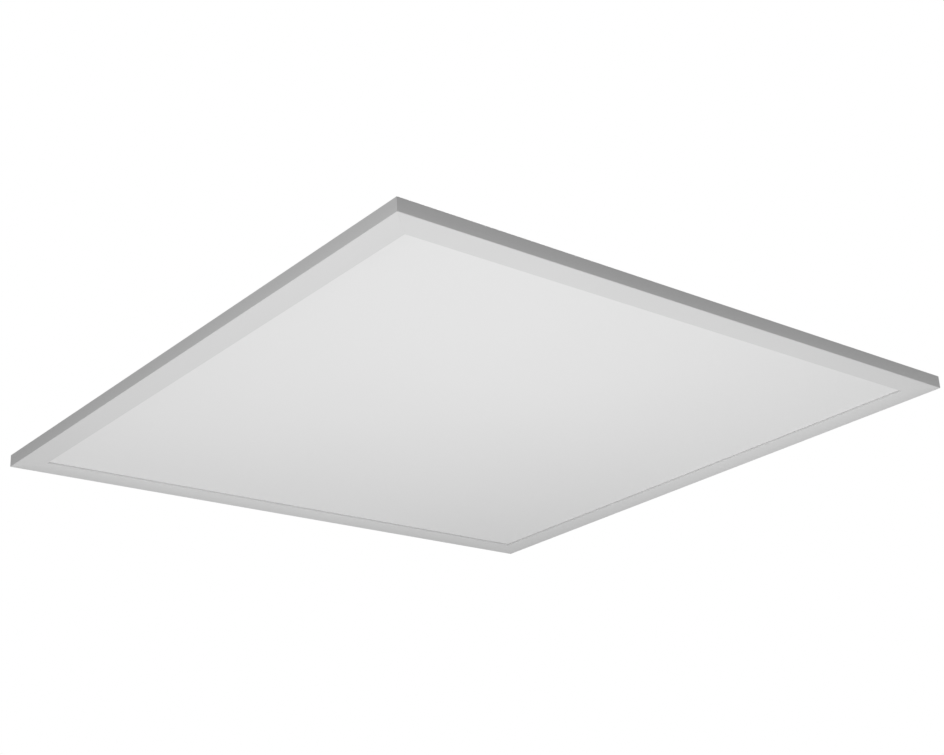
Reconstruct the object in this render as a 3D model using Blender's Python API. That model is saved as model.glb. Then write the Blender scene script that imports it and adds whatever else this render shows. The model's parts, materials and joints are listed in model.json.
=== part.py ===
"""Ceiling LED panel, 595 mm square, edge lit, with its control gear in a hinged tray on the back.

Row frame: metres, +Z up. The luminous face looks down. The origin is the centre of the rim's
underside, the face that rests on the ceiling grid. Run with: blender --background --python part.py
"""

import math

import bmesh
import bpy
from mathutils import Matrix, Vector
from mathutils.geometry import tessellate_polygon

MM = 0.001
REST_GAP = 0.1 * MM  # air between faces that rest on each other
SIDE_GAP = 0.3 * MM  # air round a piece that drops into another

# Frame rails. In their section, u runs inwards from the outer face and z up from the rim.
PANEL = 595 * MM
RAIL_HEIGHT = 11.5 * MM
LIP_WIDTH = 24 * MM
LIP_THICK = 2 * MM
WALL = 1.4 * MM  # outer wall of the rail
CHAMBER = 5 * MM  # hollow that takes the corner keys
WEB = 1.2 * MM  # wall that carries the LED strip
FLANGE_REACH = 13 * MM
FLANGE_THICK = 1.4 * MM
REBATE = 0.8 * MM  # step of the outer wall above the flange, round the back plate
MITRE_GAP = 0.1 * MM  # each rail stops this far short of the mitre line
HALF = PANEL / 2
WEB_INNER = WALL + CHAMBER + WEB
FLANGE_TOP = RAIL_HEIGHT - REBATE
FLANGE_UNDER = FLANGE_TOP - FLANGE_THICK

# Corner keys and the screws that hold the back plate to the rails.
KEY_LEG = 45 * MM
KEY_GAP = 0.2 * MM
SCREW_INSET = WALL + CHAMBER / 2
SCREW_FROM_CORNER = 30 * MM
SCREW_SHANK = 1.4 * MM
SCREW_CLEARANCE = 1.7 * MM
SCREW_HEAD = 2.3 * MM
SCREW_HEAD_HIGH = 1.5 * MM
SCREW_LENGTH = 5.6 * MM

# Sheets stacked on the lip, from the bottom up.
STACK_INSET = 9.8 * MM
DIFFUSER_THICK = 1.5 * MM
GUIDE_THICK = 3 * MM
REFLECTOR_THICK = 0.3 * MM
FOAM_THICK = 3.3 * MM
DIFFUSER_Z = LIP_THICK + REST_GAP
GUIDE_Z = DIFFUSER_Z + DIFFUSER_THICK + REST_GAP
REFLECTOR_Z = GUIDE_Z + GUIDE_THICK + REST_GAP
FOAM_Z = REFLECTOR_Z + REFLECTOR_THICK + REST_GAP
FOAM_INSET = FLANGE_REACH + 0.4 * MM

# Back plate.
PLATE_THICK = 0.6 * MM
PLATE_Z = FLANGE_TOP + REST_GAP
PLATE_TOP = PLATE_Z + PLATE_THICK
PLATE_INSET = WALL + SIDE_GAP
BEAD_HIGH = 1.6 * MM
BEAD_BASE = 7 * MM  # half width of a pressed bead where it leaves the sheet
BEAD_CREST = 4 * MM  # half width of its flat top
EDGE_BEAD_AT = 235 * MM
EDGE_BEAD_LENGTH = 400 * MM
FIELD_BEAD_XS = [x * MM for x in (-160, -80, 0, 80, 160)]
FIELD_BEAD_Y = -65 * MM
FIELD_BEAD_LENGTH = 250 * MM

# LED strips.
STRIP_LENGTH = 556 * MM
STRIP_THICK = 1 * MM
STRIP_LOW = 2.4 * MM
STRIP_HIGH = 6.4 * MM
LED_COUNT = 36
LED_PITCH = 15.2 * MM
LED_SIZE = Vector((0.7, 3.5, 2.8)) * MM

# Gear tray and its hinged cover.
TRAY_X = 130 * MM
TRAY_FRONT = 105 * MM
TRAY_REAR = 195 * MM
SHEET = 0.8 * MM
TRAY_Z = PLATE_TOP + REST_GAP
TRAY_FLOOR = TRAY_Z + SHEET
TRAY_TOP = 38 * MM
BEND = 2 * MM
COVER_Z = TRAY_TOP + SIDE_GAP
COVER_TOP = COVER_Z + SHEET
COVER_LIP_Z = 31 * MM
COVER_REAR = TRAY_REAR - 0.1 * MM
HINGE_Y = 197.4 * MM
HINGE_Z = COVER_Z + SHEET / 2
HINGE_XS = {"left": -85 * MM, "right": 85 * MM}
KNUCKLE = 2.2 * MM
KNUCKLE_BORE = 1.1 * MM
HINGE_PIN = 1.0 * MM
TRAY_KNUCKLE_HALF = 6 * MM
COVER_KNUCKLE_LONG = 7 * MM
STUD_Y = 121 * MM
LATCH_TAB_HALF = 9 * MM
LATCH_TAB_REAR = 118 * MM
CAM_HALF = 6.8 * MM
CAM_HALF_WIDTH = 1.9 * MM
CAM_Z = 35.4 * MM
CAM_TOP = 36.8 * MM

# Cable entry, cord clamp and earth point.
ENTRY_Y = 124 * MM
ENTRY_Z = 21.5 * MM
GROMMET_FLANGE = 8.5 * MM
GROMMET_NECK = 7 * MM
GROMMET_BORE = 4.5 * MM
CLAMP_X = -116 * MM
CLAMP_HALF = 4 * MM
CLAMP_REACH = 10 * MM  # from the cable's centre to each clamp screw
BOSS = 3 * MM
BOSS_TOP = 16 * MM
EARTH_AT = Vector((-72, 128, 0)) * MM

# Terminal block.
BLOCK_LO = Vector((-106, 147, 12.6)) * MM
BLOCK_HI = Vector((-82, 173, 28)) * MM
POLES = {"live": 152 * MM, "earth": 160 * MM, "neutral": 168 * MM}
LEVER_PIVOT_X = -101.5 * MM
LEVER_PIVOT_Z = 24.6 * MM
LEVER_LONG = 12.5 * MM
LEVER_HALF = 3.25 * MM
LEVER_SLOT_HALF = 3.4 * MM
LEVER_SLOT_FLOOR = 21.4 * MM
LEVER_BOSS = 2.4 * MM
ROD = 0.8 * MM
ROD_BORE = 0.9 * MM
TERMINAL_LEAD_Z = 17 * MM

# Driver.
DRIVER_X = (-60 * MM, 100 * MM)
DRIVER_Y = (139 * MM, 183 * MM)
DRIVER_Z = TRAY_FLOOR + SIDE_GAP
DRIVER_SEAM = 30 * MM
DRIVER_TOP = 35.6 * MM
DRIVER_WALL = 1.6 * MM
EAR_LONG = 10 * MM
EAR_THICK = 2.4 * MM
EAR_HALF = 10 * MM
DRIVER_LEAD_Z = 20 * MM
DRIVER_LEAD_YS = (155 * MM, 167 * MM)
BOARD_Z = DRIVER_Z + DRIVER_WALL + 1.4 * MM
BOARD_THICK = 1.6 * MM
ON_BOARD = BOARD_Z + BOARD_THICK + REST_GAP

# Leads.
MAINS_LEAD = 1.0 * MM
STRIP_LEAD = 0.9 * MM
EXIT_AT = Vector((118, 160, 0)) * MM  # grommet where the strip leads enter the panel
EXIT_HOLE = 5 * MM
EXIT_BORE = 3 * MM
EXIT_FLANGE = 6.5 * MM
LEAD_OFFSET = 1.3 * MM
SLOT_HALF = 4 * MM
SLOT_FLARE = 14 * MM
STRIP_LEAD_Z = 8.15 * MM
STRIP_LEAD_INSET = 11.2 * MM

ROUND = 20  # sides of a turned piece
SMALL_ROUND = 12


# ---------------------------------------------------------------- materials


def material(name, colour, roughness, metallic=0.0, alpha=1.0):
    made = bpy.data.materials.new(name)
    made.use_nodes = True
    shader = made.node_tree.nodes["Principled BSDF"]
    shader.inputs["Base Color"].default_value = (*colour, 1)
    shader.inputs["Roughness"].default_value = roughness
    shader.inputs["Metallic"].default_value = metallic
    shader.inputs["Alpha"].default_value = alpha
    return made


def make_materials():
    return {
        "frame_white": material("frame_white", (0.78, 0.78, 0.78), 0.45),
        "opal": material("opal", (0.82, 0.82, 0.82), 0.35),
        "acrylic": material("acrylic", (0.9, 0.95, 0.95), 0.05, alpha=0.5),
        "reflector": material("reflector", (0.92, 0.92, 0.92), 0.5),
        "foam": material("foam", (0.85, 0.86, 0.87), 0.9),
        "plate_white": material("plate_white", (0.72, 0.73, 0.74), 0.5),
        "galvanised": material("galvanised", (0.62, 0.64, 0.66), 0.4, 1.0),
        "zinc": material("zinc", (0.7, 0.7, 0.72), 0.3, 1.0),
        "diecast": material("diecast", (0.5, 0.5, 0.52), 0.5, 1.0),
        "strip": material("strip", (0.88, 0.88, 0.86), 0.4),
        "rubber": material("rubber", (0.04, 0.04, 0.04), 0.7),
        "grey_nylon": material("grey_nylon", (0.55, 0.56, 0.58), 0.45),
        "lever_orange": material("lever_orange", (0.85, 0.3, 0.05), 0.35),
        "driver_plastic": material("driver_plastic", (0.86, 0.86, 0.84), 0.4),
        "board": material("board", (0.05, 0.28, 0.12), 0.4),
        "ferrite": material("ferrite", (0.12, 0.12, 0.13), 0.6),
        "sleeve": material("sleeve", (0.03, 0.05, 0.12), 0.35),
        "lead_brown": material("lead_brown", (0.2, 0.08, 0.03), 0.4),
        "lead_blue": material("lead_blue", (0.04, 0.16, 0.55), 0.4),
        "lead_green": material("lead_green", (0.2, 0.5, 0.08), 0.4),
        "lead_white": material("lead_white", (0.85, 0.85, 0.83), 0.4),
    }


# ---------------------------------------------------------------- making and joining shapes


def finish(bm, name, finish_material=None, smooth=False):
    """Turns a bmesh into an object, its faces pointing out."""
    bmesh.ops.recalc_face_normals(bm, faces=bm.faces)
    mesh = bpy.data.meshes.new(name)
    bm.to_mesh(mesh)
    bm.free()
    if finish_material:
        mesh.materials.append(finish_material)
    if smooth:
        mesh.shade_smooth()
        mesh.set_sharp_from_angle(angle=math.radians(35))
    return place(mesh, name)


def place(mesh, name, at=(0, 0, 0), turn=0.0):
    """One object of a mesh, at a place and turned about Z."""
    obj = bpy.data.objects.new(name, mesh)
    obj.location = at
    obj.rotation_euler.z = turn
    bpy.context.scene.collection.objects.link(obj)
    return obj


def set_origin(obj, point):
    """Moves the object's origin to a point and leaves its shape where it is."""
    obj.data.transform(Matrix.Translation(-Vector(point)))
    obj.location = point
    return obj


def helper(obj):
    """A cutter, or a shape to join, that isn't a piece of its own."""
    obj.hide_render = True
    obj.display_type = "WIRE"
    return obj


def combine(obj, tool, operation):
    """Adds an exact Boolean of the helper object tool."""
    modifier = obj.modifiers.new(f"{operation.lower()}_{tool.name}", "BOOLEAN")
    modifier.operation = operation
    modifier.solver = "EXACT"
    modifier.object = helper(tool)
    return obj


def arc(centre, radius, start, end, steps):
    """Points on an arc, angles in degrees, both ends included."""
    angles = [math.radians(start + (end - start) * i / steps) for i in range(steps + 1)]
    return [(centre[0] + radius * math.cos(a), centre[1] + radius * math.sin(a)) for a in angles]


def rounded(corners, steps=3):
    """An outline from (x, y, radius) corners, each with a radius turned into an arc."""
    points = []
    for i, (x, y, radius) in enumerate(corners):
        here = Vector((x, y))
        back = (Vector(corners[i - 1][:2]) - here).normalized()
        ahead = (Vector(corners[(i + 1) % len(corners)][:2]) - here).normalized()
        if not radius:
            points.append((x, y))
            continue
        half_angle = back.angle(ahead) / 2
        centre = here + (back + ahead).normalized() * radius / math.sin(half_angle)
        first = (here + back * radius / math.tan(half_angle) - centre).normalized()
        last = (here + ahead * radius / math.tan(half_angle) - centre).normalized()
        for step in range(steps + 1):
            point = centre + radius * first.slerp(last, step / steps)
            points.append((point.x, point.y))
    return points


def rectangle(x0, y0, x1, y1, radius=0.0):
    return [(x0, y0, radius), (x1, y0, radius), (x1, y1, radius), (x0, y1, radius)]


def add_prism(bm, outline, low, high):
    """Extrudes an (x, y) outline from z low to z high."""
    base = bm.faces.new([bm.verts.new((x, y, low)) for x, y in outline])
    top = bmesh.ops.extrude_face_region(bm, geom=[base])["geom"]
    moved = [v for v in top if isinstance(v, bmesh.types.BMVert)]
    bmesh.ops.translate(bm, vec=(0, 0, high - low), verts=moved)


def prism(name, outline, low, high, finish_material=None, smooth=False):
    bm = bmesh.new()
    add_prism(bm, outline, low, high)
    return finish(bm, name, finish_material, smooth)


def add_box(bm, low, high):
    add_prism(bm, [c[:2] for c in rectangle(low[0], low[1], high[0], high[1])], low[2], high[2])


def box(name, low, high, finish_material=None):
    bm = bmesh.new()
    add_box(bm, low, high)
    return finish(bm, name, finish_material)


def add_cup(bm, outer, inner, closed_z, floor_z, open_z):
    """A tray shape: walls between two outlines of as many points, closed at one end by a floor."""
    loops = [(outer, closed_z), (outer, open_z), (inner, open_z), (inner, floor_z)]
    rings = [[bm.verts.new((x, y, z)) for x, y in outline] for outline, z in loops]
    count = len(outer)
    for lower, upper in zip(rings, rings[1:]):
        for i in range(count):
            j = (i + 1) % count
            bm.faces.new((lower[i], lower[j], upper[j], upper[i]))
    bm.faces.new(rings[0])
    bm.faces.new(rings[-1])


def cup(name, outer, inner, closed_z, floor_z, open_z, finish_material):
    bm = bmesh.new()
    add_cup(bm, outer, inner, closed_z, floor_z, open_z)
    return finish(bm, name, finish_material)


def turned_mesh(name, profile, finish_material=None, steps=ROUND, axis="Z"):
    """A mesh turned about an axis through its origin, from (radius, height) points."""
    bm = bmesh.new()
    points = [bm.verts.new((radius, 0, height)) for radius, height in profile]
    edges = [bm.edges.new(pair) for pair in zip(points, points[1:])]
    bmesh.ops.spin(bm, geom=points + edges, axis=(0, 0, 1), angle=math.tau, steps=steps, use_merge=True)
    bmesh.ops.remove_doubles(bm, verts=bm.verts, dist=0.01 * MM)
    turns = {"X": Matrix.Rotation(math.pi / 2, 3, "Y"), "Y": Matrix.Rotation(-math.pi / 2, 3, "X")}
    if axis in turns:
        bmesh.ops.rotate(bm, cent=(0, 0, 0), matrix=turns[axis], verts=bm.verts)
    bmesh.ops.recalc_face_normals(bm, faces=bm.faces)
    mesh = bpy.data.meshes.new(name)
    bm.to_mesh(mesh)
    bm.free()
    if finish_material:
        mesh.materials.append(finish_material)
    mesh.shade_smooth()
    mesh.set_sharp_from_angle(angle=math.radians(35))
    return mesh


def turned(name, profile, at, finish_material=None, steps=ROUND, axis="Z"):
    return place(turned_mesh(name, profile, finish_material, steps, axis), name, at)


def rod_profile(radius, low, high):
    return [(0, low), (radius, low), (radius, high), (0, high)]


def ring_profile(inner, outer, low, high):
    return [(inner, low), (outer, low), (outer, high), (inner, high), (inner, low)]


def rods(name, radius, low, high, places, steps=SMALL_ROUND):
    """One helper mesh of upright rods, none of which meet."""
    bm = bmesh.new()
    for x, y in places:
        matrix = Matrix.Translation((x, y, (low + high) / 2))
        bmesh.ops.create_cone(
            bm, cap_ends=True, segments=steps, radius1=radius, radius2=radius, depth=high - low, matrix=matrix
        )
    return finish(bm, name)


def lead(name, route, radius, finish_material, samples=6):
    """A tube along a smooth curve through the route's points, with filled ends."""
    points = [Vector(p) * MM for p in route]
    padded = [2 * points[0] - points[1], *points, 2 * points[-1] - points[-2]]
    line = [points[0]]
    for a, b, c, d in zip(padded, padded[1:], padded[2:], padded[3:]):
        slope = c - a
        bend = 2 * a - 5 * b + 4 * c - d
        twist = 3 * b - a - 3 * c + d
        steps = [i / samples for i in range(1, samples + 1)]
        line.extend(b + (slope * t + bend * t**2 + twist * t**3) / 2 for t in steps)
    curve = bpy.data.curves.new(name, "CURVE")
    curve.dimensions = "3D"
    curve.bevel_depth = radius
    curve.bevel_resolution = 2
    curve.use_fill_caps = True
    spline = curve.splines.new("POLY")
    spline.points.add(len(line) - 1)
    for point, place_at in zip(spline.points, line):
        point.co = (*place_at, 1)
    curve.materials.append(finish_material)
    return place(curve, name)


# ---------------------------------------------------------------- frame


def rail_section():
    """(outer outline, chamber outline) of the extrusion, as (u, z) points."""
    edge = 0.5 * MM
    outer = rounded(
        [
            (0, 0, edge),
            (LIP_WIDTH, 0, 0.3 * MM),
            (LIP_WIDTH, LIP_THICK, 0.3 * MM),
            (WEB_INNER, LIP_THICK, 0),
            (WEB_INNER, FLANGE_UNDER, 0),
            (FLANGE_REACH, FLANGE_UNDER, 0),
            (FLANGE_REACH, FLANGE_TOP, 0),
            (WALL, FLANGE_TOP, 0),
            (WALL, RAIL_HEIGHT, 0.2 * MM),
            (0, RAIL_HEIGHT, 0.4 * MM),
        ]
    )
    chamber = rectangle(WALL, LIP_THICK, WALL + CHAMBER, FLANGE_UNDER)
    return outer, [(u, z) for u, z, _ in chamber]


def rail_mesh(finish_material):
    """The front rail: its section swept along X and mitred at both ends by shifting each end point."""
    loops = rail_section()
    bm = bmesh.new()
    ends = {}
    for side in (-1, 1):
        ends[side] = [
            [bm.verts.new((side * (HALF - u - MITRE_GAP), u - HALF, z)) for u, z in loop] for loop in loops
        ]
    for near, far in zip(ends[-1], ends[1]):
        for i in range(len(near)):
            j = (i + 1) % len(near)
            bm.faces.new((near[i], near[j], far[j], far[i]))
    triangles = tessellate_polygon([[Vector((u, z, 0)) / MM for u, z in loop] for loop in loops])
    for side in (-1, 1):
        flat = [vert for loop in ends[side] for vert in loop]
        for triangle in triangles:
            bm.faces.new([flat[i] for i in triangle])
    bmesh.ops.recalc_face_normals(bm, faces=bm.faces)
    mesh = bpy.data.meshes.new("frame_rail")
    bm.to_mesh(mesh)
    bm.free()
    mesh.materials.append(finish_material)
    return mesh


def key_mesh(finish_material):
    """The front left corner key: a square L that lies in the chambers of two rails."""
    out = -HALF + WALL + KEY_GAP
    inner = -HALF + WALL + CHAMBER - KEY_GAP
    end = out + KEY_LEG
    outline = [(out, out), (end, out), (end, inner), (inner, inner), (inner, end), (out, end)]
    bm = bmesh.new()
    add_prism(bm, outline, LIP_THICK + KEY_GAP, FLANGE_UNDER - KEY_GAP)
    bmesh.ops.recalc_face_normals(bm, faces=bm.faces)
    mesh = bpy.data.meshes.new("corner_key")
    bm.to_mesh(mesh)
    bm.free()
    mesh.materials.append(finish_material)
    return mesh


def back_screw_places():
    """Three screws a side: one near each corner, which also holds a key, and one in the middle."""
    near_corner = HALF - SCREW_FROM_CORNER
    off_edge = HALF - SCREW_INSET
    front = [Vector((x, -off_edge, 0)) for x in (-near_corner, 0, near_corner)]
    return [Matrix.Rotation(math.radians(90 * side), 3, "Z") @ p for side in range(4) for p in front]


def make_frame(materials):
    places = [(p.x, p.y) for p in back_screw_places()]
    drill = rods("back_screw_drill", SCREW_CLEARANCE, 5 * MM, RAIL_HEIGHT + 2 * MM, places)
    rail = rail_mesh(materials["frame_white"])
    key = key_mesh(materials["diecast"])
    rail_names = ("front", "right", "rear", "left")
    key_names = ("front_left", "front_right", "rear_right", "rear_left")
    for side in range(4):
        turn = math.radians(90 * side)
        combine(place(rail, f"frame_rail_{rail_names[side]}", turn=turn), drill, "DIFFERENCE")
        combine(place(key, f"corner_key_{key_names[side]}", turn=turn), drill, "DIFFERENCE")
    return drill


def screw_mesh(name, finish_material, length, head=2.8 * MM, high=2 * MM, shank=SCREW_SHANK):
    """A pan head screw with its origin under the head."""
    profile = [
        (0, -length),
        (shank * 0.6, -length),
        (shank, -length + 0.6 * MM),
        (shank, 0),
        (head, 0),
        (head, high * 0.5),
        (head * 0.65, high),
        (0, high),
    ]
    return turned_mesh(name, profile, finish_material, SMALL_ROUND)


def make_back_screws(materials):
    mesh = screw_mesh("back_screw", materials["zinc"], SCREW_LENGTH, SCREW_HEAD, SCREW_HEAD_HIGH)
    for number, spot in enumerate(back_screw_places(), 1):
        place(mesh, f"back_screw_{number:02d}", (spot.x, spot.y, PLATE_TOP + REST_GAP))


# ---------------------------------------------------------------- sheets and LED strips


def square_sheet(name, inset, low, thick, finish_material, radius=1.0 * MM):
    half = HALF - inset
    outline = rounded(rectangle(-half, -half, half, half, radius))
    return prism(name, outline, low, low + thick, finish_material)


def make_foam(materials):
    """The foam sheet has a slot that is round at the lead grommet and flares at the rear edge."""
    half = HALF - FOAM_INSET
    pocket = 2 * SLOT_HALF
    keyhole = arc((EXIT_AT.x, EXIT_AT.y), pocket, 60, -240, 12)
    outline = [
        (-half, -half),
        (half, -half),
        (half, half),
        (EXIT_AT.x + SLOT_HALF + SLOT_FLARE, half),
        (EXIT_AT.x + SLOT_HALF, half - SLOT_FLARE),
        *keyhole,
        (EXIT_AT.x - SLOT_HALF, half - SLOT_FLARE),
        (EXIT_AT.x - SLOT_HALF - SLOT_FLARE, half),
        (-half, half),
    ]
    prism("foam_sheet", outline, FOAM_Z, FOAM_Z + FOAM_THICK, materials["foam"])


def make_led_strips(materials):
    """A narrow board with its LEDs standing on the face that looks into the light guide."""
    outer = HALF - WEB_INNER - REST_GAP
    inner = outer - STRIP_THICK
    bm = bmesh.new()
    add_box(bm, (inner, -STRIP_LENGTH / 2, STRIP_LOW), (outer, STRIP_LENGTH / 2, STRIP_LOW + STRIP_HIGH))
    board = finish(bm, "led_strip_right", materials["strip"])
    bm = bmesh.new()
    middle = GUIDE_Z + GUIDE_THICK / 2
    for i in range(LED_COUNT):
        y = (i - (LED_COUNT - 1) / 2) * LED_PITCH
        low = (inner - LED_SIZE.x, y - LED_SIZE.y / 2, middle - LED_SIZE.z / 2)
        high = (inner + STRIP_THICK / 2, y + LED_SIZE.y / 2, middle + LED_SIZE.z / 2)
        add_box(bm, low, high)
    leds = finish(bm, "led_packages")
    combine(board, leds, "UNION")
    left = place(board.data, "led_strip_left", turn=math.pi)
    left_leds = place(leds.data, "led_packages_left", turn=math.pi)
    combine(left, left_leds, "UNION")


# ---------------------------------------------------------------- back plate


def add_bead(bm, x, y, length, along_y, grow, low, high):
    """A long frustum with round ends. grow widens it, so that a cutter can be narrower by the sheet."""
    straight = length / 2 - BEAD_BASE
    rings = []
    for half, z in ((BEAD_BASE + grow, low), (BEAD_CREST + grow, high)):
        ends = arc((straight, 0), half, -90, 90, 6) + arc((-straight, 0), half, 90, 270, 6)
        turned_ends = [(-v, u) if along_y else (u, v) for u, v in ends]
        rings.append([bm.verts.new((x + u, y + v, z)) for u, v in turned_ends])
    count = len(rings[0])
    for i in range(count):
        j = (i + 1) % count
        bm.faces.new((rings[0][i], rings[0][j], rings[1][j], rings[1][i]))
    bm.faces.new(rings[0])
    bm.faces.new(rings[1])


def beads(name, grow, low, high):
    bm = bmesh.new()
    for sign in (-1, 1):
        add_bead(bm, 0, sign * EDGE_BEAD_AT, EDGE_BEAD_LENGTH, False, grow, low, high)
        add_bead(bm, sign * EDGE_BEAD_AT, 0, EDGE_BEAD_LENGTH, True, grow, low, high)
    for x in FIELD_BEAD_XS:
        add_bead(bm, x, FIELD_BEAD_Y, FIELD_BEAD_LENGTH, True, grow, low, high)
    return finish(bm, name)


def make_back_plate(materials, drill):
    plate = square_sheet("back_plate", PLATE_INSET, PLATE_Z, PLATE_THICK, materials["plate_white"], 2 * MM)
    raised = beads("raised_beads", 0, PLATE_Z + PLATE_THICK / 2, PLATE_TOP + BEAD_HIGH)
    hollow = beads("bead_hollows", -PLATE_THICK, PLATE_Z - PLATE_THICK, PLATE_TOP + BEAD_HIGH - PLATE_THICK)
    combine(plate, raised, "UNION")
    combine(plate, hollow, "DIFFERENCE")
    combine(plate, drill, "DIFFERENCE")
    return plate


# ---------------------------------------------------------------- gear tray and cover


def knuckle(name, x0, x1, web_low, web_high, web_front):
    """A hinge knuckle with the strip of sheet it is rolled from."""
    ring = ring_profile(KNUCKLE_BORE, KNUCKLE, x0, x1)
    obj = helper(turned(name, ring, (0, HINGE_Y, HINGE_Z), axis="X"))
    web = box(f"{name}_web", (x0, web_front, web_low), (x1, HINGE_Y - 1.5 * MM, web_high))
    return combine(obj, web, "UNION")


def join_all(obj, tools):
    """Unites the object with each helper in turn."""
    for tool in tools:
        combine(obj, tool, "UNION")
    return obj


def make_tray(materials):
    outer = rounded(rectangle(-TRAY_X, TRAY_FRONT, TRAY_X, TRAY_REAR, BEND))
    edges = (-TRAY_X + SHEET, TRAY_FRONT + SHEET, TRAY_X - SHEET, TRAY_REAR - SHEET)
    inner = rounded(rectangle(*edges, BEND - SHEET))
    tray = cup("gear_tray", outer, inner, TRAY_Z, TRAY_FLOOR, TRAY_TOP, materials["galvanised"])
    knuckles = [
        knuckle(
            f"tray_knuckle_{side}",
            x - TRAY_KNUCKLE_HALF,
            x + TRAY_KNUCKLE_HALF,
            TRAY_TOP - SHEET,
            TRAY_TOP,
            TRAY_REAR - SHEET / 2,
        )
        for side, x in HINGE_XS.items()
    ]
    tab = box(
        "latch_tab",
        (-LATCH_TAB_HALF, TRAY_FRONT + SHEET / 2, TRAY_TOP - SHEET),
        (LATCH_TAB_HALF, LATCH_TAB_REAR, TRAY_TOP),
    )
    spots = [(CLAMP_X, ENTRY_Y + side * CLAMP_REACH) for side in (-1, 1)]
    bosses = rods("clamp_bosses", BOSS, TRAY_FLOOR - SHEET / 2, BOSS_TOP, spots)
    join_all(tray, [*knuckles, tab, bosses])

    through_wall = rod_profile(GROMMET_NECK + REST_GAP, -3 * MM, 3 * MM)
    entry = turned("entry_hole", through_wall, (-TRAY_X, ENTRY_Y, ENTRY_Z), axis="X")
    pilot = rods("boss_pilots", SCREW_CLEARANCE, TRAY_FLOOR + 0.5 * MM, BOSS_TOP + MM, spots)
    ear_x = (DRIVER_X[0] - EAR_LONG / 2, DRIVER_X[1] + EAR_LONG / 2)
    floor_spots = [(x, sum(DRIVER_Y) / 2) for x in ear_x] + [(EARTH_AT.x, EARTH_AT.y)]
    floor_holes = rods("floor_holes", SCREW_CLEARANCE, TRAY_Z - MM, TRAY_FLOOR + MM, floor_spots)
    for cutter in (entry, pilot, floor_holes):
        combine(tray, cutter, "DIFFERENCE")
    return tray


def make_cover(materials):
    """The cover has lips on its front and ends, and none at the rear, where the hinge is."""
    side = TRAY_X + SIDE_GAP
    front = TRAY_FRONT - SIDE_GAP
    overrun = 6 * MM
    outer_edges = (-side - SHEET, front - SHEET, side + SHEET, COVER_REAR + overrun)
    inner_edges = (-side, front, side, COVER_REAR + overrun - SHEET)
    outer = rounded(rectangle(*outer_edges, BEND + SIDE_GAP))
    inner = rounded(rectangle(*inner_edges, BEND + SIDE_GAP - SHEET))
    cover = cup("gear_cover", outer, inner, COVER_TOP, COVER_Z, COVER_LIP_Z, materials["galvanised"])
    rear_trim = box(
        "cover_rear_trim",
        (-TRAY_X - 5 * MM, COVER_REAR, COVER_LIP_Z - MM),
        (TRAY_X + 5 * MM, COVER_REAR + 2 * overrun, COVER_TOP + MM),
    )
    combine(cover, rear_trim, "DIFFERENCE")
    knuckles = []
    for name, x in HINGE_XS.items():
        for sign in (-1, 1):
            start = x + sign * (TRAY_KNUCKLE_HALF + SIDE_GAP)
            x0, x1 = sorted((start, start + sign * COVER_KNUCKLE_LONG))
            label = f"cover_knuckle_{name}_{'outer' if sign * x > 0 else 'inner'}"
            knuckles.append(knuckle(label, x0, x1, COVER_Z, COVER_TOP, COVER_REAR - 2 * MM))
    join_all(cover, knuckles)
    stud_hole = rods("stud_hole", 2.2 * MM, COVER_Z - MM, COVER_TOP + MM, [(0, STUD_Y)])
    combine(cover, stud_hole, "DIFFERENCE")
    return set_origin(cover, (0, HINGE_Y, HINGE_Z))


def make_hinge_pins(materials):
    half = TRAY_KNUCKLE_HALF + SIDE_GAP + COVER_KNUCKLE_LONG
    profile = [
        (0, -half - MM),
        (HINGE_PIN, -half - MM),
        (HINGE_PIN, half + SIDE_GAP),
        (1.7 * MM, half + SIDE_GAP),
        (1.7 * MM, half + MM),
        (MM, half + 1.5 * MM),
        (0, half + 1.5 * MM),
    ]
    for name, x in HINGE_XS.items():
        turned(f"hinge_pin_{name}", profile, (x, HINGE_Y, HINGE_Z), materials["zinc"], axis="X")


def make_cover_stud(materials, cover):
    """A quarter turn latch. Its cam lies beside the tray's tab, and turns in under the tab to lock."""
    seat = COVER_TOP + REST_GAP
    profile = [
        (0, -4.4 * MM),
        (1.4 * MM, -4.4 * MM),
        (1.9 * MM, -3.9 * MM),
        (1.9 * MM, 0),
        (4.6 * MM, 0),
        (4.6 * MM, 4 * MM),
        (4 * MM, 4.6 * MM),
        (0, 4.6 * MM),
    ]
    stud = turned("cover_stud", profile, Vector((0, STUD_Y, seat)) - cover.location, materials["zinc"])
    stud.parent = cover
    edges = (-CAM_HALF, STUD_Y - CAM_HALF_WIDTH, CAM_HALF, STUD_Y + CAM_HALF_WIDTH)
    cam = prism("latch_cam", rounded(rectangle(*edges, 1.5 * MM)), CAM_Z, CAM_TOP)
    combine(stud, cam, "UNION")


# ---------------------------------------------------------------- cable entry, clamp and earth


def make_entry(materials):
    neck_half = SHEET / 2 + REST_GAP
    flange = 1.4 * MM
    profile = [
        (GROMMET_BORE, -neck_half - flange),
        (GROMMET_FLANGE, -neck_half - flange),
        (GROMMET_FLANGE, -neck_half),
        (GROMMET_NECK, -neck_half),
        (GROMMET_NECK, neck_half),
        (GROMMET_FLANGE, neck_half),
        (GROMMET_FLANGE, neck_half + flange),
        (GROMMET_BORE, neck_half + flange),
        (GROMMET_BORE, -neck_half - flange),
    ]
    wall_middle = -TRAY_X + SHEET / 2
    turned("cable_grommet", profile, (wall_middle, ENTRY_Y, ENTRY_Z), materials["rubber"], axis="X")


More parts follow.
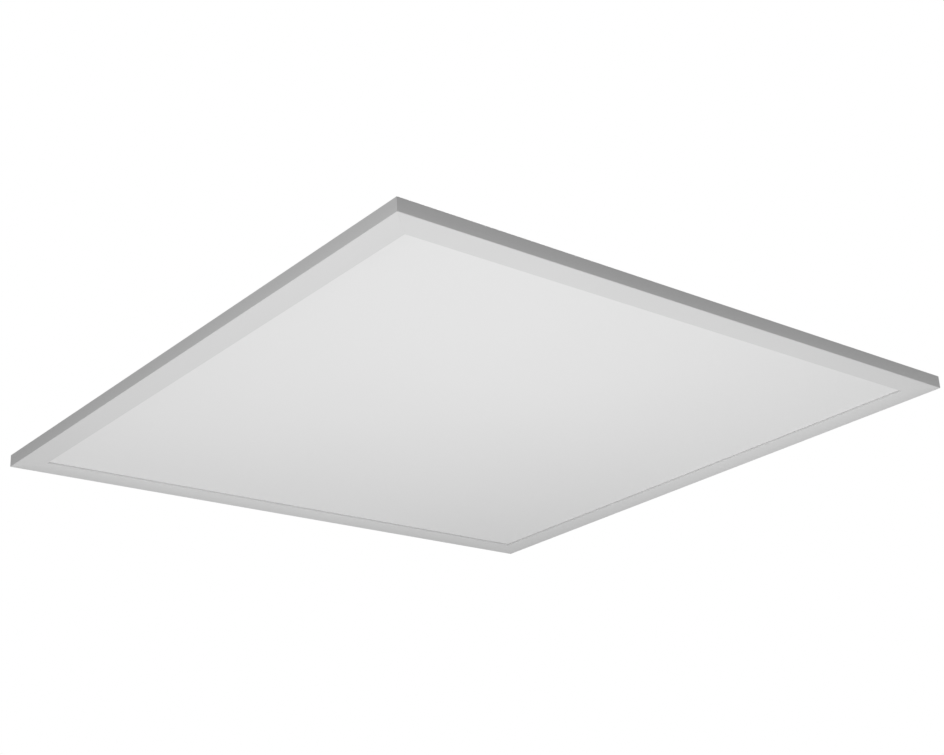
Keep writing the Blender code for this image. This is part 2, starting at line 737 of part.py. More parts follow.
def make_clamp(materials):
    """A bar that arches over the cable and screws down to two bosses on the tray floor."""
    low = BOSS_TOP + 0.2 * MM
    foot_top = low + 3.2 * MM
    foot_in = 4.8 * MM
    reach = CLAMP_REACH + 4 * MM
    under = [(-v, w) for v, w in arc((0, low), foot_in, 0, 180, 8)]
    section = [
        (-reach, low),
        *under,
        (reach, low),
        (reach, foot_top),
        (foot_in + 2.4 * MM, foot_top),
        (foot_in, foot_top + 3.2 * MM),
        (-foot_in, foot_top + 3.2 * MM),
        (-foot_in - 2.4 * MM, foot_top),
        (-reach, foot_top),
    ]
    bm = bmesh.new()
    add_prism(bm, section, -CLAMP_HALF, CLAMP_HALF)
    upright = Matrix(((0, 0, 1, CLAMP_X), (1, 0, 0, ENTRY_Y), (0, 1, 0, 0), (0, 0, 0, 1)))
    bmesh.ops.transform(bm, matrix=upright, verts=bm.verts)
    bar = finish(bm, "clamp_bar", materials["grey_nylon"])
    spots = [(CLAMP_X, ENTRY_Y + side * CLAMP_REACH) for side in (-1, 1)]
    combine(bar, rods("clamp_bar_holes", SCREW_CLEARANCE, low - MM, foot_top + MM, spots), "DIFFERENCE")
    mesh = screw_mesh("clamp_screw", materials["zinc"], 6 * MM)
    for (x, y), side in zip(spots, ("front", "rear")):
        place(mesh, f"clamp_screw_{side}", (x, y, foot_top + REST_GAP))


def make_earth_point(materials):
    """A ring lug under a screw in the tray floor."""
    low = TRAY_FLOOR + REST_GAP
    top = low + 0.8 * MM
    ring = ring_profile(SCREW_CLEARANCE, 3.4 * MM, low, top)
    lug = turned("earth_lug", ring, EARTH_AT, materials["zinc"])
    tongue_low = EARTH_AT + Vector((-1.2 * MM, 2.6 * MM, low))
    tongue_high = EARTH_AT + Vector((1.2 * MM, 7 * MM, top))
    combine(lug, box("earth_lug_tongue", tongue_low, tongue_high), "UNION")
    mesh = screw_mesh("earth_screw", materials["zinc"], 1.6 * MM)
    place(mesh, "earth_screw", EARTH_AT + Vector((0, 0, top + REST_GAP)))


# ---------------------------------------------------------------- terminal block


def make_terminal_block(materials):
    body = box("terminal_block", BLOCK_LO, BLOCK_HI, materials["grey_nylon"])
    cuts = bmesh.new()
    for y in POLES.values():
        low = (BLOCK_LO.x - MM, y - LEVER_SLOT_HALF, LEVER_SLOT_FLOOR)
        high = (BLOCK_HI.x - 5 * MM, y + LEVER_SLOT_HALF, BLOCK_HI.z + MM)
        add_box(cuts, low, high)
    combine(body, finish(cuts, "lever_slots"), "DIFFERENCE")
    for pole, y in POLES.items():
        for side, x, radius in (("in", BLOCK_LO.x, 2 * MM), ("out", BLOCK_HI.x, 1.4 * MM)):
            hole = rod_profile(radius, -6 * MM, 6 * MM)
            cutter = turned(f"{pole}_{side}_hole", hole, (x, y, TERMINAL_LEAD_Z), steps=SMALL_ROUND, axis="X")
            combine(body, cutter, "DIFFERENCE")
    middle = (BLOCK_LO.y + BLOCK_HI.y) / 2
    rod_half = (BLOCK_HI.y - BLOCK_LO.y) / 2
    pivot = (LEVER_PIVOT_X, middle, LEVER_PIVOT_Z)
    bore = turned("rod_bore", rod_profile(ROD_BORE, -rod_half - MM, rod_half + MM), pivot, steps=16, axis="Y")
    combine(body, bore, "DIFFERENCE")
    rod = rod_profile(ROD, -rod_half + 0.4 * MM, rod_half - 0.4 * MM)
    turned("lever_rod", rod, pivot, materials["zinc"], steps=16, axis="Y")


def make_levers(materials):
    """A lever is a round boss on the rod with an arm that lies along the top of the block."""
    arm_low = 1.2 * MM
    arm_high = BLOCK_HI.z - LEVER_PIVOT_Z
    section = [
        *arc((0, 0), LEVER_BOSS, 90, 330, 10),
        (LEVER_BOSS + 0.6 * MM, arm_low),
        (LEVER_LONG - 0.6 * MM, arm_low),
        (LEVER_LONG, arm_low + 0.8 * MM),
        (LEVER_LONG, arm_high),
        (LEVER_BOSS, arm_high),
    ]
    for pole, y in POLES.items():
        bm = bmesh.new()
        add_prism(bm, section, -LEVER_HALF, LEVER_HALF)
        bmesh.ops.rotate(bm, cent=(0, 0, 0), matrix=Matrix.Rotation(math.pi / 2, 3, "X"), verts=bm.verts)
        lever = finish(bm, f"terminal_lever_{pole}", materials["lever_orange"])
        lever.location = (LEVER_PIVOT_X, y, LEVER_PIVOT_Z)
        bore = rod_profile(ROD_BORE, -LEVER_HALF - MM, LEVER_HALF + MM)
        cutter = turned(f"lever_bore_{pole}", bore, lever.location, steps=16, axis="Y")
        combine(lever, cutter, "DIFFERENCE")


# ---------------------------------------------------------------- driver


def make_driver_case(materials):
    x0, x1 = DRIVER_X
    y0, y1 = DRIVER_Y
    w = DRIVER_WALL
    outer = rounded(rectangle(x0, y0, x1, y1, 2 * MM))
    inner = rounded(rectangle(x0 + w, y0 + w, x1 - w, y1 - w, 0.8 * MM))
    case = cup("driver_case", outer, inner, DRIVER_Z, DRIVER_Z + w, DRIVER_SEAM, materials["driver_plastic"])
    lid_rim = DRIVER_SEAM + SIDE_GAP
    cup("driver_lid", outer, inner, DRIVER_TOP, DRIVER_TOP - w, lid_rim, materials["driver_plastic"])
    middle = (y0 + y1) / 2
    ears, ear_spots = [], []
    for side, wall, tip in (("left", x0, x0 - EAR_LONG), ("right", x1, x1 + EAR_LONG)):
        overlap = w / 2 if tip < wall else -w / 2
        low_x, high_x = sorted((wall + overlap, tip))
        ear = box(
            f"driver_ear_{side}",
            (low_x, middle - EAR_HALF, DRIVER_Z),
            (high_x, middle + EAR_HALF, DRIVER_Z + EAR_THICK),
        )
        ears.append(ear)
        ear_spots.append(((wall + tip) / 2, middle))
    post_spots = [(px, py) for px in (x0 + 12 * MM, x1 - 12 * MM) for py in (y0 + 9 * MM, y1 - 9 * MM)]
    posts = rods("board_posts", 2.5 * MM, DRIVER_Z + w / 2, BOARD_Z - REST_GAP, post_spots)
    join_all(case, [*ears, posts])
    ear_holes = rods("ear_holes", SCREW_CLEARANCE, DRIVER_Z - MM, DRIVER_Z + EAR_THICK + MM, ear_spots)
    combine(case, ear_holes, "DIFFERENCE")
    for x in DRIVER_X:
        for y in DRIVER_LEAD_YS:
            hole = rod_profile(1.4 * MM, -3 * MM, 3 * MM)
            label = f"driver_hole_{'left' if x < 0 else 'right'}_{y / MM:.0f}"
            drill = turned(label, hole, (x, y, DRIVER_LEAD_Z), steps=SMALL_ROUND, axis="X")
            combine(case, drill, "DIFFERENCE")
    length = EAR_THICK + SIDE_GAP + 0.6 * MM
    mesh = screw_mesh("driver_screw", materials["zinc"], length)
    for (x, y), side in zip(ear_spots, ("left", "right")):
        place(mesh, f"driver_screw_{side}", (x, y, DRIVER_Z + EAR_THICK + REST_GAP))


def make_driver_board(materials):
    x0, x1 = DRIVER_X
    y0, y1 = DRIVER_Y
    inset = DRIVER_WALL + 3 * MM
    low = (x0 + inset, y0 + inset, BOARD_Z)
    high = (x1 - inset, y1 - inset, BOARD_Z + BOARD_THICK)
    box("driver_board", low, high, materials["board"])
    middle = (y0 + y1) / 2

    core = rounded(rectangle(-12 * MM, -11 * MM, 12 * MM, 11 * MM, 0.5 * MM), 1)
    transformer = prism("driver_transformer", core, 3 * MM, 11 * MM, materials["ferrite"])
    winding = rounded(rectangle(-8 * MM, -13 * MM, 8 * MM, 13 * MM, MM), 1)
    bobbin = prism("transformer_bobbin", winding, 0, 14.5 * MM)
    combine(transformer, bobbin, "UNION")
    bobbin.location = transformer.location = (30 * MM, middle, ON_BOARD)

    choke = ring_profile(3.5 * MM, 8 * MM, 0, 10 * MM)
    turned("driver_choke", choke, (-22 * MM, middle, ON_BOARD), materials["ferrite"])
    can = [(0, 0), (7.4 * MM, 0), (8 * MM, 0.8 * MM), (8 * MM, 14 * MM), (7.2 * MM, 15 * MM), (0, 15 * MM)]
    turned("driver_bulk_capacitor", can, (0, middle - 4 * MM, ON_BOARD), materials["sleeve"])
    small = [(r * 0.7, h * 0.9) for r, h in can]
    turned("driver_output_capacitor", small, (60 * MM, middle - 8 * MM, ON_BOARD), materials["sleeve"])
    low = Vector((-46 * MM, middle - 7 * MM, ON_BOARD))
    box("driver_filter_capacitor", low, low + Vector((7, 14, 11)) * MM, materials["grey_nylon"])
    angle = [(0, 0), (26, 0), (26, 1.6), (1.6, 1.6), (1.6, 9), (0, 9)]
    outline = [((50 + u) * MM, middle + (7 + v) * MM) for u, v in angle]
    prism("driver_heat_sink", outline, ON_BOARD, ON_BOARD + 13 * MM, materials["diecast"])


# ---------------------------------------------------------------- leads


def make_leads(materials):
    """Routes in millimetres. The mains leads cross the gap from the terminal block to the driver."""
    live = [(-86, 152, 17), (-80, 152, 17.4), (-73, 152.6, 21.5)]
    live += [(-66, 154.4, 21), (-60, 155, 20), (-54, 155, 19.6)]
    neutral = [(-86, 168, 17), (-80, 168, 17.4), (-73, 168.6, 21.5)]
    neutral += [(-66, 167.6, 21), (-60, 167, 20), (-54, 167, 19.6)]
    earth = [(-86, 160, 17), (-80, 160, 16.8), (-76, 157.5, 15), (-74, 150, 14.4), (-72.6, 142, 14.5)]
    earth.append((EARTH_AT.x / MM, 135.6, 14.6))
    lead("lead_live", live, MAINS_LEAD, materials["lead_brown"])
    lead("lead_neutral", neutral, MAINS_LEAD, materials["lead_blue"])
    lead("lead_earth", earth, MAINS_LEAD, materials["lead_green"])
    for side, sign, y in (("left", -1, DRIVER_LEAD_YS[0]), ("right", 1, DRIVER_LEAD_YS[1])):
        make_strip_lead(side, sign, y / MM, materials["lead_white"])


def make_strip_lead(side, sign, start_y, finish_material):
    """From the driver, down the grommet, back through the foam's slot and along the rear rail to a strip."""
    exit_x = EXIT_AT.x / MM + sign * LEAD_OFFSET / MM
    exit_y = EXIT_AT.y / MM
    along = (HALF - STRIP_LEAD_INSET) / MM
    run_z = STRIP_LEAD_Z / MM
    slot_z = run_z + 0.15
    end_x = (HALF - WEB_INNER - 2 * REST_GAP - STRIP_THICK - STRIP_LEAD) / MM
    turn_x = exit_x + sign * 8
    route = [
        (94, start_y, 19.6),
        (100, start_y, 20),
        (106, start_y, 21.2),
        (112, start_y + (exit_y - start_y) * 0.4, 22.4),
        (exit_x - 1, exit_y + (start_y - exit_y) * 0.12, 19.5),
        (exit_x, exit_y, 15),
        (exit_x, exit_y, 12),
        (exit_x, exit_y, 10.4),
        (exit_x, exit_y + 0.9, slot_z + 0.6),
        (exit_x, exit_y + 2.6, slot_z),
        (exit_x, exit_y + 8, slot_z),
        (exit_x, exit_y + 40, slot_z),
        (exit_x, exit_y + 80, slot_z),
        (exit_x, along - 16, slot_z),
        (exit_x + sign * 0.6, along - 5, run_z),
        (turn_x, along, run_z),
        (turn_x + sign * 12, along, run_z),
        ((turn_x + sign * end_x) / 2, along, run_z),
        (sign * (end_x - 20), along, run_z),
        (sign * (end_x - 5), along, run_z),
        (sign * (end_x - 1.2), along - 1.2, run_z),
        (sign * end_x, along - 5, run_z),
        (sign * end_x, along - 20, run_z),
    ]
    lead(f"strip_lead_{side}", route, STRIP_LEAD, finish_material, samples=4)


def make_lead_grommet(materials):
    """A rubber bush through the tray floor and the back plate."""
    plate_low = PLATE_Z - REST_GAP
    tray_high = TRAY_FLOOR + REST_GAP
    flange = 1.2 * MM
    neck = EXIT_HOLE - REST_GAP
    profile = [
        (EXIT_BORE, plate_low - flange),
        (EXIT_FLANGE, plate_low - flange),
        (EXIT_FLANGE, plate_low),
        (neck, plate_low),
        (neck, tray_high),
        (EXIT_FLANGE, tray_high),
        (EXIT_FLANGE, tray_high + flange),
        (EXIT_BORE, tray_high + flange),
        (EXIT_BORE, plate_low - flange),
    ]
    turned("lead_grommet", profile, EXIT_AT, materials["rubber"])


# ---------------------------------------------------------------- the whole object


def clear_scene():
    for obj in list(bpy.data.objects):
        bpy.data.objects.remove(obj)


def main():
    clear_scene()
    materials = make_materials()
    drill = make_frame(materials)
    square_sheet("diffuser", STACK_INSET, DIFFUSER_Z, DIFFUSER_THICK, materials["opal"])
    square_sheet("light_guide", STACK_INSET, GUIDE_Z, GUIDE_THICK, materials["acrylic"])
    square_sheet("reflector_sheet", STACK_INSET, REFLECTOR_Z, REFLECTOR_THICK, materials["reflector"])
    make_foam(materials)
    make_led_strips(materials)
    plate = make_back_plate(materials, drill)
    make_back_screws(materials)

    tray = make_tray(materials)
    exit_drill = rods("lead_exit_drill", EXIT_HOLE, PLATE_Z - MM, TRAY_FLOOR + MM, [EXIT_AT.xy], ROUND)
    combine(plate, exit_drill, "DIFFERENCE")
    combine(tray, exit_drill, "DIFFERENCE")
    make_lead_grommet(materials)
    cover = make_cover(materials)
    make_cover_stud(materials, cover)
    make_hinge_pins(materials)

    make_entry(materials)
    make_clamp(materials)
    make_earth_point(materials)
    make_terminal_block(materials)
    make_levers(materials)
    make_driver_case(materials)
    make_driver_board(materials)
    make_leads(materials)


main()
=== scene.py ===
"""Looks of the 595 mm LED ceiling panel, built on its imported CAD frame. Metres, +Z up, lit face down."""

import math

import bmesh
import bpy
from mathutils import Matrix, Vector
from mathutils.geometry import tessellate_polygon
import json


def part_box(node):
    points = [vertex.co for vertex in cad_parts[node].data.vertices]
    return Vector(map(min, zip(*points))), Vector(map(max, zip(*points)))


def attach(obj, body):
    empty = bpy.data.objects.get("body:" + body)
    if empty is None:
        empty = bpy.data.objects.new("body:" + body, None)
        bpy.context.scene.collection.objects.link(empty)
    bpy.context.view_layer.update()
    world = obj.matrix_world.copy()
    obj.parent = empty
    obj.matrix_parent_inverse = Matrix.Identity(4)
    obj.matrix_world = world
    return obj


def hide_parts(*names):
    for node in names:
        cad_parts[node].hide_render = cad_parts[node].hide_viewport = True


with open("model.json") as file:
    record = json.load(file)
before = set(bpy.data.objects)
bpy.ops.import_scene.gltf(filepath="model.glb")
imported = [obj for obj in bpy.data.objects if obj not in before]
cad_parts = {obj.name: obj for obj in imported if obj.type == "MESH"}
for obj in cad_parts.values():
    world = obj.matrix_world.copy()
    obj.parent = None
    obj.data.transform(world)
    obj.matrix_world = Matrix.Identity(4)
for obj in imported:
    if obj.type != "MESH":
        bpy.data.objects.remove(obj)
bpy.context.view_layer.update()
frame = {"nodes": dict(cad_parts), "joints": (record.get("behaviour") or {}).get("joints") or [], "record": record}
BODY = {node: body for body, nodes in frame["record"]["behaviour"]["bodies"].items() for node in nodes}
SLOT = {part["node"]: part["material_slot"] for part in frame["record"]["subparts"]}

MM = 0.001
SHARP = math.radians(32)
AXIS = 0.01 * MM  # radius that stands for a turned shape's axis, where a ring of points can't be
SHEET = 0.8 * MM  # gear tray and cover
PLATE_SHEET = 0.6 * MM
BEND = 1.4 * MM  # outer radius of a fold in the gear sheet
ENTRY_HOLE = 7.1 * MM  # radius, for the cable grommet's neck
EXIT_HOLE = 5 * MM  # radius, for the lead grommet's


# ---------------------------------------------------------------- camera, light and floor


def make_camera():
    """Below the panel, off its front left corner, looking up at it, a little rolled."""
    place = Vector((-0.8781, -1.0646, -0.5110))
    target = Vector((-0.0420, -0.1386, 0.0))
    roll = math.radians(3.82)
    back = (place - target).normalized()
    right = Vector((0, 0, 1)).cross(back).normalized()
    up = back.cross(right)
    turned_right = right * math.cos(roll) - up * math.sin(roll)
    turned_up = right * math.sin(roll) + up * math.cos(roll)
    data = bpy.data.cameras.new("camera")
    data.sensor_width = 36
    data.lens = 62.35
    data.shift_x = -0.0655
    data.shift_y = -0.0097
    camera = bpy.data.objects.new("camera", data)
    rotation = Matrix((turned_right, turned_up, back)).transposed()
    camera.matrix_world = Matrix.Translation(place) @ rotation.to_4x4()
    bpy.context.scene.collection.objects.link(camera)
    bpy.context.scene.camera = camera


def soft_light(name, place, target, size, power):
    data = bpy.data.lights.new(name, "AREA")
    data.shape = "DISK"
    data.size = size
    data.energy = power
    light = bpy.data.objects.new(name, data)
    light.location = place
    light.rotation_euler = (Vector(target) - Vector(place)).to_track_quat("-Z", "Y").to_euler()
    light.visible_camera = False
    bpy.context.scene.collection.objects.link(light)


def make_light():
    """A white surround, seen white and lighting softly, with lamps below, beside and above the panel."""
    world = bpy.data.worlds.new("studio")
    world.use_nodes = True
    tree = world.node_tree
    background = tree.nodes["Background"]
    background.inputs["Color"].default_value = (1, 1, 1, 1)
    path = tree.nodes.new("ShaderNodeLightPath")
    strength = tree.nodes.new("ShaderNodeMapRange")
    strength.inputs["To Min"].default_value = 0.38
    strength.inputs["To Max"].default_value = 1.0
    tree.links.new(path.outputs["Is Camera Ray"], strength.inputs["Value"])
    tree.links.new(strength.outputs["Result"], background.inputs["Strength"])
    bpy.context.scene.world = world
    soft_light("below", (-0.15, -0.2, -1.0), (-0.15, -0.2, 0), 0.6, 5.35)
    soft_light("beside", (-0.95, -0.32, -0.08), (-0.3, -0.32, 0), 0.3, 0.75)
    soft_light("above", (1.1, 0.7, 2.2), (0, 0, 0), 1.2, 40)
    view = bpy.context.scene.view_settings
    view.view_transform = "Standard"
    view.look = "None"


def make_floor():
    """A pale disc well below the panel, which turns into the white surround far out."""
    bm = bmesh.new()
    bmesh.ops.create_circle(bm, cap_ends=True, segments=96, radius=14)
    floor = new_piece("floor", bm, floor_material())
    floor.location.z = -2.4


# ---------------------------------------------------------------- materials


class Look:
    """One material's nodes. Every pattern sits in the row frame, so it stays on its piece."""

    def __init__(self, name, colour, roughness, metallic=0.0, **sockets):
        self.material = bpy.data.materials.new(name)
        self.material.use_nodes = True
        self.tree = self.material.node_tree
        self.shader = self.tree.nodes["Principled BSDF"]
        self.coordinates = self.tree.nodes.new("ShaderNodeTexCoord")
        self.place = self.coordinates.outputs["Object"]
        self.normal = None
        self.set("Base Color", colour)
        self.set("Roughness", roughness)
        self.set("Metallic", metallic)
        for socket, value in sockets.items():
            self.set(socket.replace("_", " "), value)

    def set(self, socket, value):
        """Links an output, or sets a number or colour."""
        if isinstance(value, bpy.types.NodeSocket):
            self.tree.links.new(value, self.shader.inputs[socket])
        elif isinstance(value, tuple):
            self.shader.inputs[socket].default_value = (*value, 1)
        else:
            self.shader.inputs[socket].default_value = value

    def node(self, kind, inputs, **settings):
        made = self.tree.nodes.new(kind)
        for name, value in settings.items():
            setattr(made, name, value)
        for name, value in inputs.items():
            if isinstance(value, bpy.types.NodeSocket):
                self.tree.links.new(value, made.inputs[name])
            else:
                made.inputs[name].default_value = value
        return made

    def stretched(self, x, y, z, vector=None):
        """The row frame's coordinates, or others, scaled along each axis, for grain that runs one way."""
        inputs = {"Vector": vector or self.place, "Scale": (x, y, z)}
        return self.node("ShaderNodeMapping", inputs).outputs["Vector"]

    def multiply_add(self, value, times, plus, kind="ShaderNodeMath", output="Value"):
        """A value, or a vector, times one thing plus another."""
        return self.node(kind, {0: value, 1: times, 2: plus}, operation="MULTIPLY_ADD").outputs[output]

    def noise(self, scale, detail=2.0, vector=None):
        inputs = {"Vector": vector or self.place, "Scale": scale, "Detail": detail}
        return self.node("ShaderNodeTexNoise", inputs).outputs["Fac"]

    def cells(self, scale, output="Color", feature="F1", vector=None):
        inputs = {"Vector": vector or self.place, "Scale": scale}
        return self.node("ShaderNodeTexVoronoi", inputs, feature=feature).outputs[output]

    def between(self, factor, low, high, start=0.3, end=0.7):
        """A number that goes from low to high as the factor goes from start to end."""
        inputs = {"Value": factor, "From Min": start, "From Max": end, "To Min": low, "To Max": high}
        return self.node("ShaderNodeMapRange", inputs).outputs["Result"]

    def shades(self, factor, *stops):
        """A colour ramp from (position, colour) stops."""
        made = self.node("ShaderNodeValToRGB", {"Fac": factor})
        ramp = made.color_ramp
        while len(ramp.elements) < len(stops):
            ramp.elements.new(1)
        for element, (position, colour) in zip(ramp.elements, stops):
            element.position = position
            element.color = (*colour, 1)
        return made.outputs["Color"]

    def bump(self, height, depth, strength=1.0):
        """Adds relief of a depth in metres to what is there already."""
        inputs = {"Height": height, "Distance": depth, "Strength": strength}
        if self.normal:
            inputs["Normal"] = self.normal
        self.normal = self.node("ShaderNodeBump", inputs).outputs["Normal"]
        self.set("Normal", self.normal)


def grey(value, tint=(1, 1, 1)):
    return tuple(value * t for t in tint)


def powder_coat():
    look = Look("frame_powder_coat", (0.74, 0.74, 0.74), 0.5, Specular_IOR_Level=0.3)
    drift = look.noise(5, 3)
    look.set("Base Color", look.shades(drift, (0.3, grey(0.735)), (0.7, grey(0.755))))
    look.set("Roughness", look.between(look.noise(2600, 1), 0.46, 0.58))
    look.bump(look.noise(620, 2), 0.02 * MM, 0.5)
    return look.material


def opal():
    """Matt opal polystyrene, with the fine stipple of its embossed face."""
    look = Look("diffuser_opal", (0.87, 0.87, 0.87), 0.4)
    drift = look.noise(3, 2)
    look.set("Base Color", look.shades(drift, (0.3, grey(0.865)), (0.7, grey(0.88))))
    look.set("Roughness", look.between(look.noise(900, 1), 0.36, 0.46))
    look.bump(look.cells(800, "Distance", "SMOOTH_F1"), 0.015 * MM, 0.4)
    return look.material


def painted_sheet():
    """Pre-painted steel: a little orange peel, the rolling direction, and wiped patches in its gloss."""
    look = Look("back_painted_steel", (0.74, 0.75, 0.76), 0.4)
    drift = look.noise(4, 4)
    look.set("Base Color", look.shades(drift, (0.3, grey(0.70, (1, 1, 1.01))), (0.7, grey(0.74, (1, 1, 1.01)))))
    look.set("Roughness", look.between(look.noise(14, 5), 0.34, 0.5))
    look.bump(look.noise(1, 3, look.stretched(30, 900, 30)), 0.01 * MM, 0.35)
    look.bump(look.noise(480, 2), 0.03 * MM, 0.45)
    return look.material


def galvanised():
    """Hot dip zinc on sheet steel. Each crystal of the spangle has its own tone, gloss and feathering."""
    look = Look("galvanised_steel", (0.62, 0.64, 0.66), 0.4, 1.0)
    wander = look.node("ShaderNodeTexNoise", {"Vector": look.place, "Scale": 260.0, "Detail": 1.0}).outputs["Color"]
    reach = (1.6 * MM, 1.6 * MM, 1.6 * MM)
    ragged = look.multiply_add(wander, reach, look.place, kind="ShaderNodeVectorMath", output="Vector")
    crystal = look.cells(230, vector=ragged)
    chance = look.node("ShaderNodeSeparateColor", {"Color": crystal}).outputs
    turn = look.between(chance["Blue"], 0, math.tau, 0, 1)
    inputs = {"Vector": look.place, "Axis": crystal, "Angle": turn}
    along = look.node("ShaderNodeVectorRotate", inputs, rotation_type="AXIS_ANGLE").outputs["Vector"]
    feather = look.noise(1, 3, look.stretched(350, 2600, 2600, along))
    tone = look.between(look.multiply_add(feather, 0.45, chance["Red"]), 0, 1, 0.1, 1.35)
    dull, usual, bright = grey(0.54, (0.97, 0.99, 1.02)), grey(0.62, (0.98, 1, 1.01)), grey(0.72)
    look.set("Base Color", look.shades(tone, (0.0, dull), (0.55, usual), (1.0, bright)))
    look.set("Roughness", look.between(look.multiply_add(feather, 0.6, chance["Green"]), 0.28, 0.48, 0.1, 1.5))
    look.bump(chance["Blue"], 0.02 * MM, 0.35)
    look.bump(feather, 0.012 * MM, 0.5)
    return look.material


def zinc_plate():
    look = Look("zinc_plated_steel", (0.72, 0.72, 0.70), 0.3, 1.0)
    cloud = look.noise(420, 3)
    look.set("Base Color", look.shades(cloud, (0.3, (0.60, 0.61, 0.60)), (0.7, (0.76, 0.75, 0.71))))
    look.set("Roughness", look.between(look.noise(1500, 2), 0.24, 0.42))
    look.bump(look.noise(3000, 1), 0.006 * MM, 0.5)
    return look.material


def cast_metal():
    look = Look("die_cast_zinc", (0.5, 0.5, 0.52), 0.5, 1.0)
    look.set("Base Color", look.shades(look.noise(300, 4), (0.3, grey(0.42)), (0.7, grey(0.56))))
    look.set("Roughness", look.between(look.noise(900, 2), 0.42, 0.62))
    look.bump(look.noise(1400, 3), 0.03 * MM, 0.5)
    return look.material


def moulded(name, colour, roughness, grain=1800, depth=0.02, **sockets):
    """Injection moulded plastic: spark-eroded grain and a slight drift in tone."""
    look = Look(name, colour, roughness, **sockets)
    dark = tuple(c * 0.93 for c in colour)
    look.set("Base Color", look.shades(look.noise(60, 3), (0.3, dark), (0.7, colour)))
    look.set("Roughness", look.between(look.noise(grain, 1), roughness - 0.05, roughness + 0.08))
    look.bump(look.noise(grain, 2), depth * MM, 0.5)
    return look.material


def rubber():
    look = Look("black_rubber", (0.02, 0.02, 0.02), 0.7)
    look.set("Base Color", look.shades(look.noise(200, 4), (0.3, grey(0.016)), (0.75, grey(0.032))))
    look.set("Roughness", look.between(look.noise(900, 2), 0.58, 0.8))
    look.bump(look.noise(1300, 3), 0.03 * MM, 0.6)
    return look.material


def pvc(name, colour, stripe=None):
    """Lead insulation, with a stripe along its upper side where one is given."""
    look = Look(name, colour, 0.35)
    tone = look.shades(look.noise(240, 2), (0.3, tuple(c * 0.88 for c in colour)), (0.7, colour))
    if stripe:
        facing = look.node("ShaderNodeSeparateXYZ", {"Vector": look.coordinates.outputs["Normal"]}).outputs["Z"]
        upper = look.between(facing, 0, 1, 0.50, 0.56)
        inputs = {"Factor": upper, "A": tone, "B": (*stripe, 1)}
        mixed = look.node("ShaderNodeMix", inputs, data_type="RGBA")
        tone = mixed.outputs["Result"]
    look.set("Base Color", tone)
    look.set("Roughness", look.between(look.noise(700, 2), 0.28, 0.42))
    look.bump(look.noise(1600, 1), 0.01 * MM, 0.4)
    return look.material


def light_guide():
    """Acrylic with the rows of laser dots that bring the light out."""
    look = Look("acrylic_light_guide", (0.86, 0.9, 0.9), 0.08)
    dots = look.between(look.cells(420, "Distance"), 1, 0, 0.18, 0.26)
    look.set("Base Color", look.shades(dots, (0, (0.84, 0.89, 0.89)), (1, (0.95, 0.95, 0.95))))
    look.set("Roughness", look.between(dots, 0.05, 0.6, 0, 1))
    look.bump(dots, 0.03 * MM, 0.6)
    return look.material


def film():
    look = Look("reflector_film", (0.92, 0.92, 0.92), 0.5)
    look.set("Base Color", look.shades(look.noise(30, 3), (0.3, grey(0.90)), (0.7, grey(0.93))))
    look.set("Roughness", look.between(look.noise(500, 2), 0.42, 0.58))
    look.bump(look.noise(1200, 2), 0.01 * MM, 0.5)
    return look.material


def foam():
    """Closed cell polyethylene foam."""
    look = Look("pe_foam", (0.85, 0.86, 0.87), 0.9)
    skin = look.cells(900, "Distance", "SMOOTH_F1")
    look.set("Base Color", look.shades(skin, (0.0, grey(0.78)), (0.8, grey(0.88))))
    look.set("Roughness", look.between(skin, 0.8, 0.95, 0, 1))
    look.bump(skin, 0.25 * MM, 0.7)
    return look.material


def led_board():
    """White solder mask on the strip, warm phosphor in the packages that stand in front of it."""
    look = Look("led_strip_board", (0.88, 0.88, 0.86), 0.4)
    across = look.node("ShaderNodeSeparateXYZ", {"Vector": look.place}).outputs["X"]
    inwards = look.node("ShaderNodeMath", {0: across}, operation="ABSOLUTE").outputs["Value"]
    board_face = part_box("led_strip_right")[1].x - 1.0 * MM
    phosphor = look.between(inwards, 1, 0, board_face - 0.3 * MM, board_face - 0.2 * MM)
    look.set("Base Color", look.shades(phosphor, (0, (0.88, 0.88, 0.86)), (1, (0.86, 0.66, 0.16))))
    look.set("Roughness", look.between(look.noise(900, 2), 0.3, 0.5))
    look.bump(look.noise(2000, 2), 0.01 * MM, 0.5)
    return look.material


def circuit_board():
    """Green solder mask over copper tracks."""
    look = Look("circuit_board", (0.05, 0.28, 0.12), 0.35)
    inputs = {"Vector": look.place, "Scale": 130.0, "Mortar Size": 0.04}
    inputs |= {"Color1": (0, 0, 0, 1), "Color2": (0.3, 0.3, 0.3, 1)}
    grid = look.node("ShaderNodeTexBrick", inputs)
    look.set("Base Color", look.shades(grid.outputs["Fac"], (0, (0.03, 0.20, 0.08)), (1, (0.07, 0.34, 0.15))))
    look.set("Roughness", look.between(look.noise(1200, 2), 0.28, 0.42))
    look.bump(grid.outputs["Fac"], 0.04 * MM, 0.6)
    return look.material


def ferrite():
    look = Look("ferrite_and_tape", (0.1, 0.1, 0.11), 0.6)
    look.set("Base Color", look.shades(look.noise(500, 4), (0.3, grey(0.07)), (0.7, grey(0.13))))
    look.set("Roughness", look.between(look.noise(800, 3), 0.5, 0.75))
    look.bump(look.noise(1600, 3), 0.04 * MM, 0.6)
    return look.material


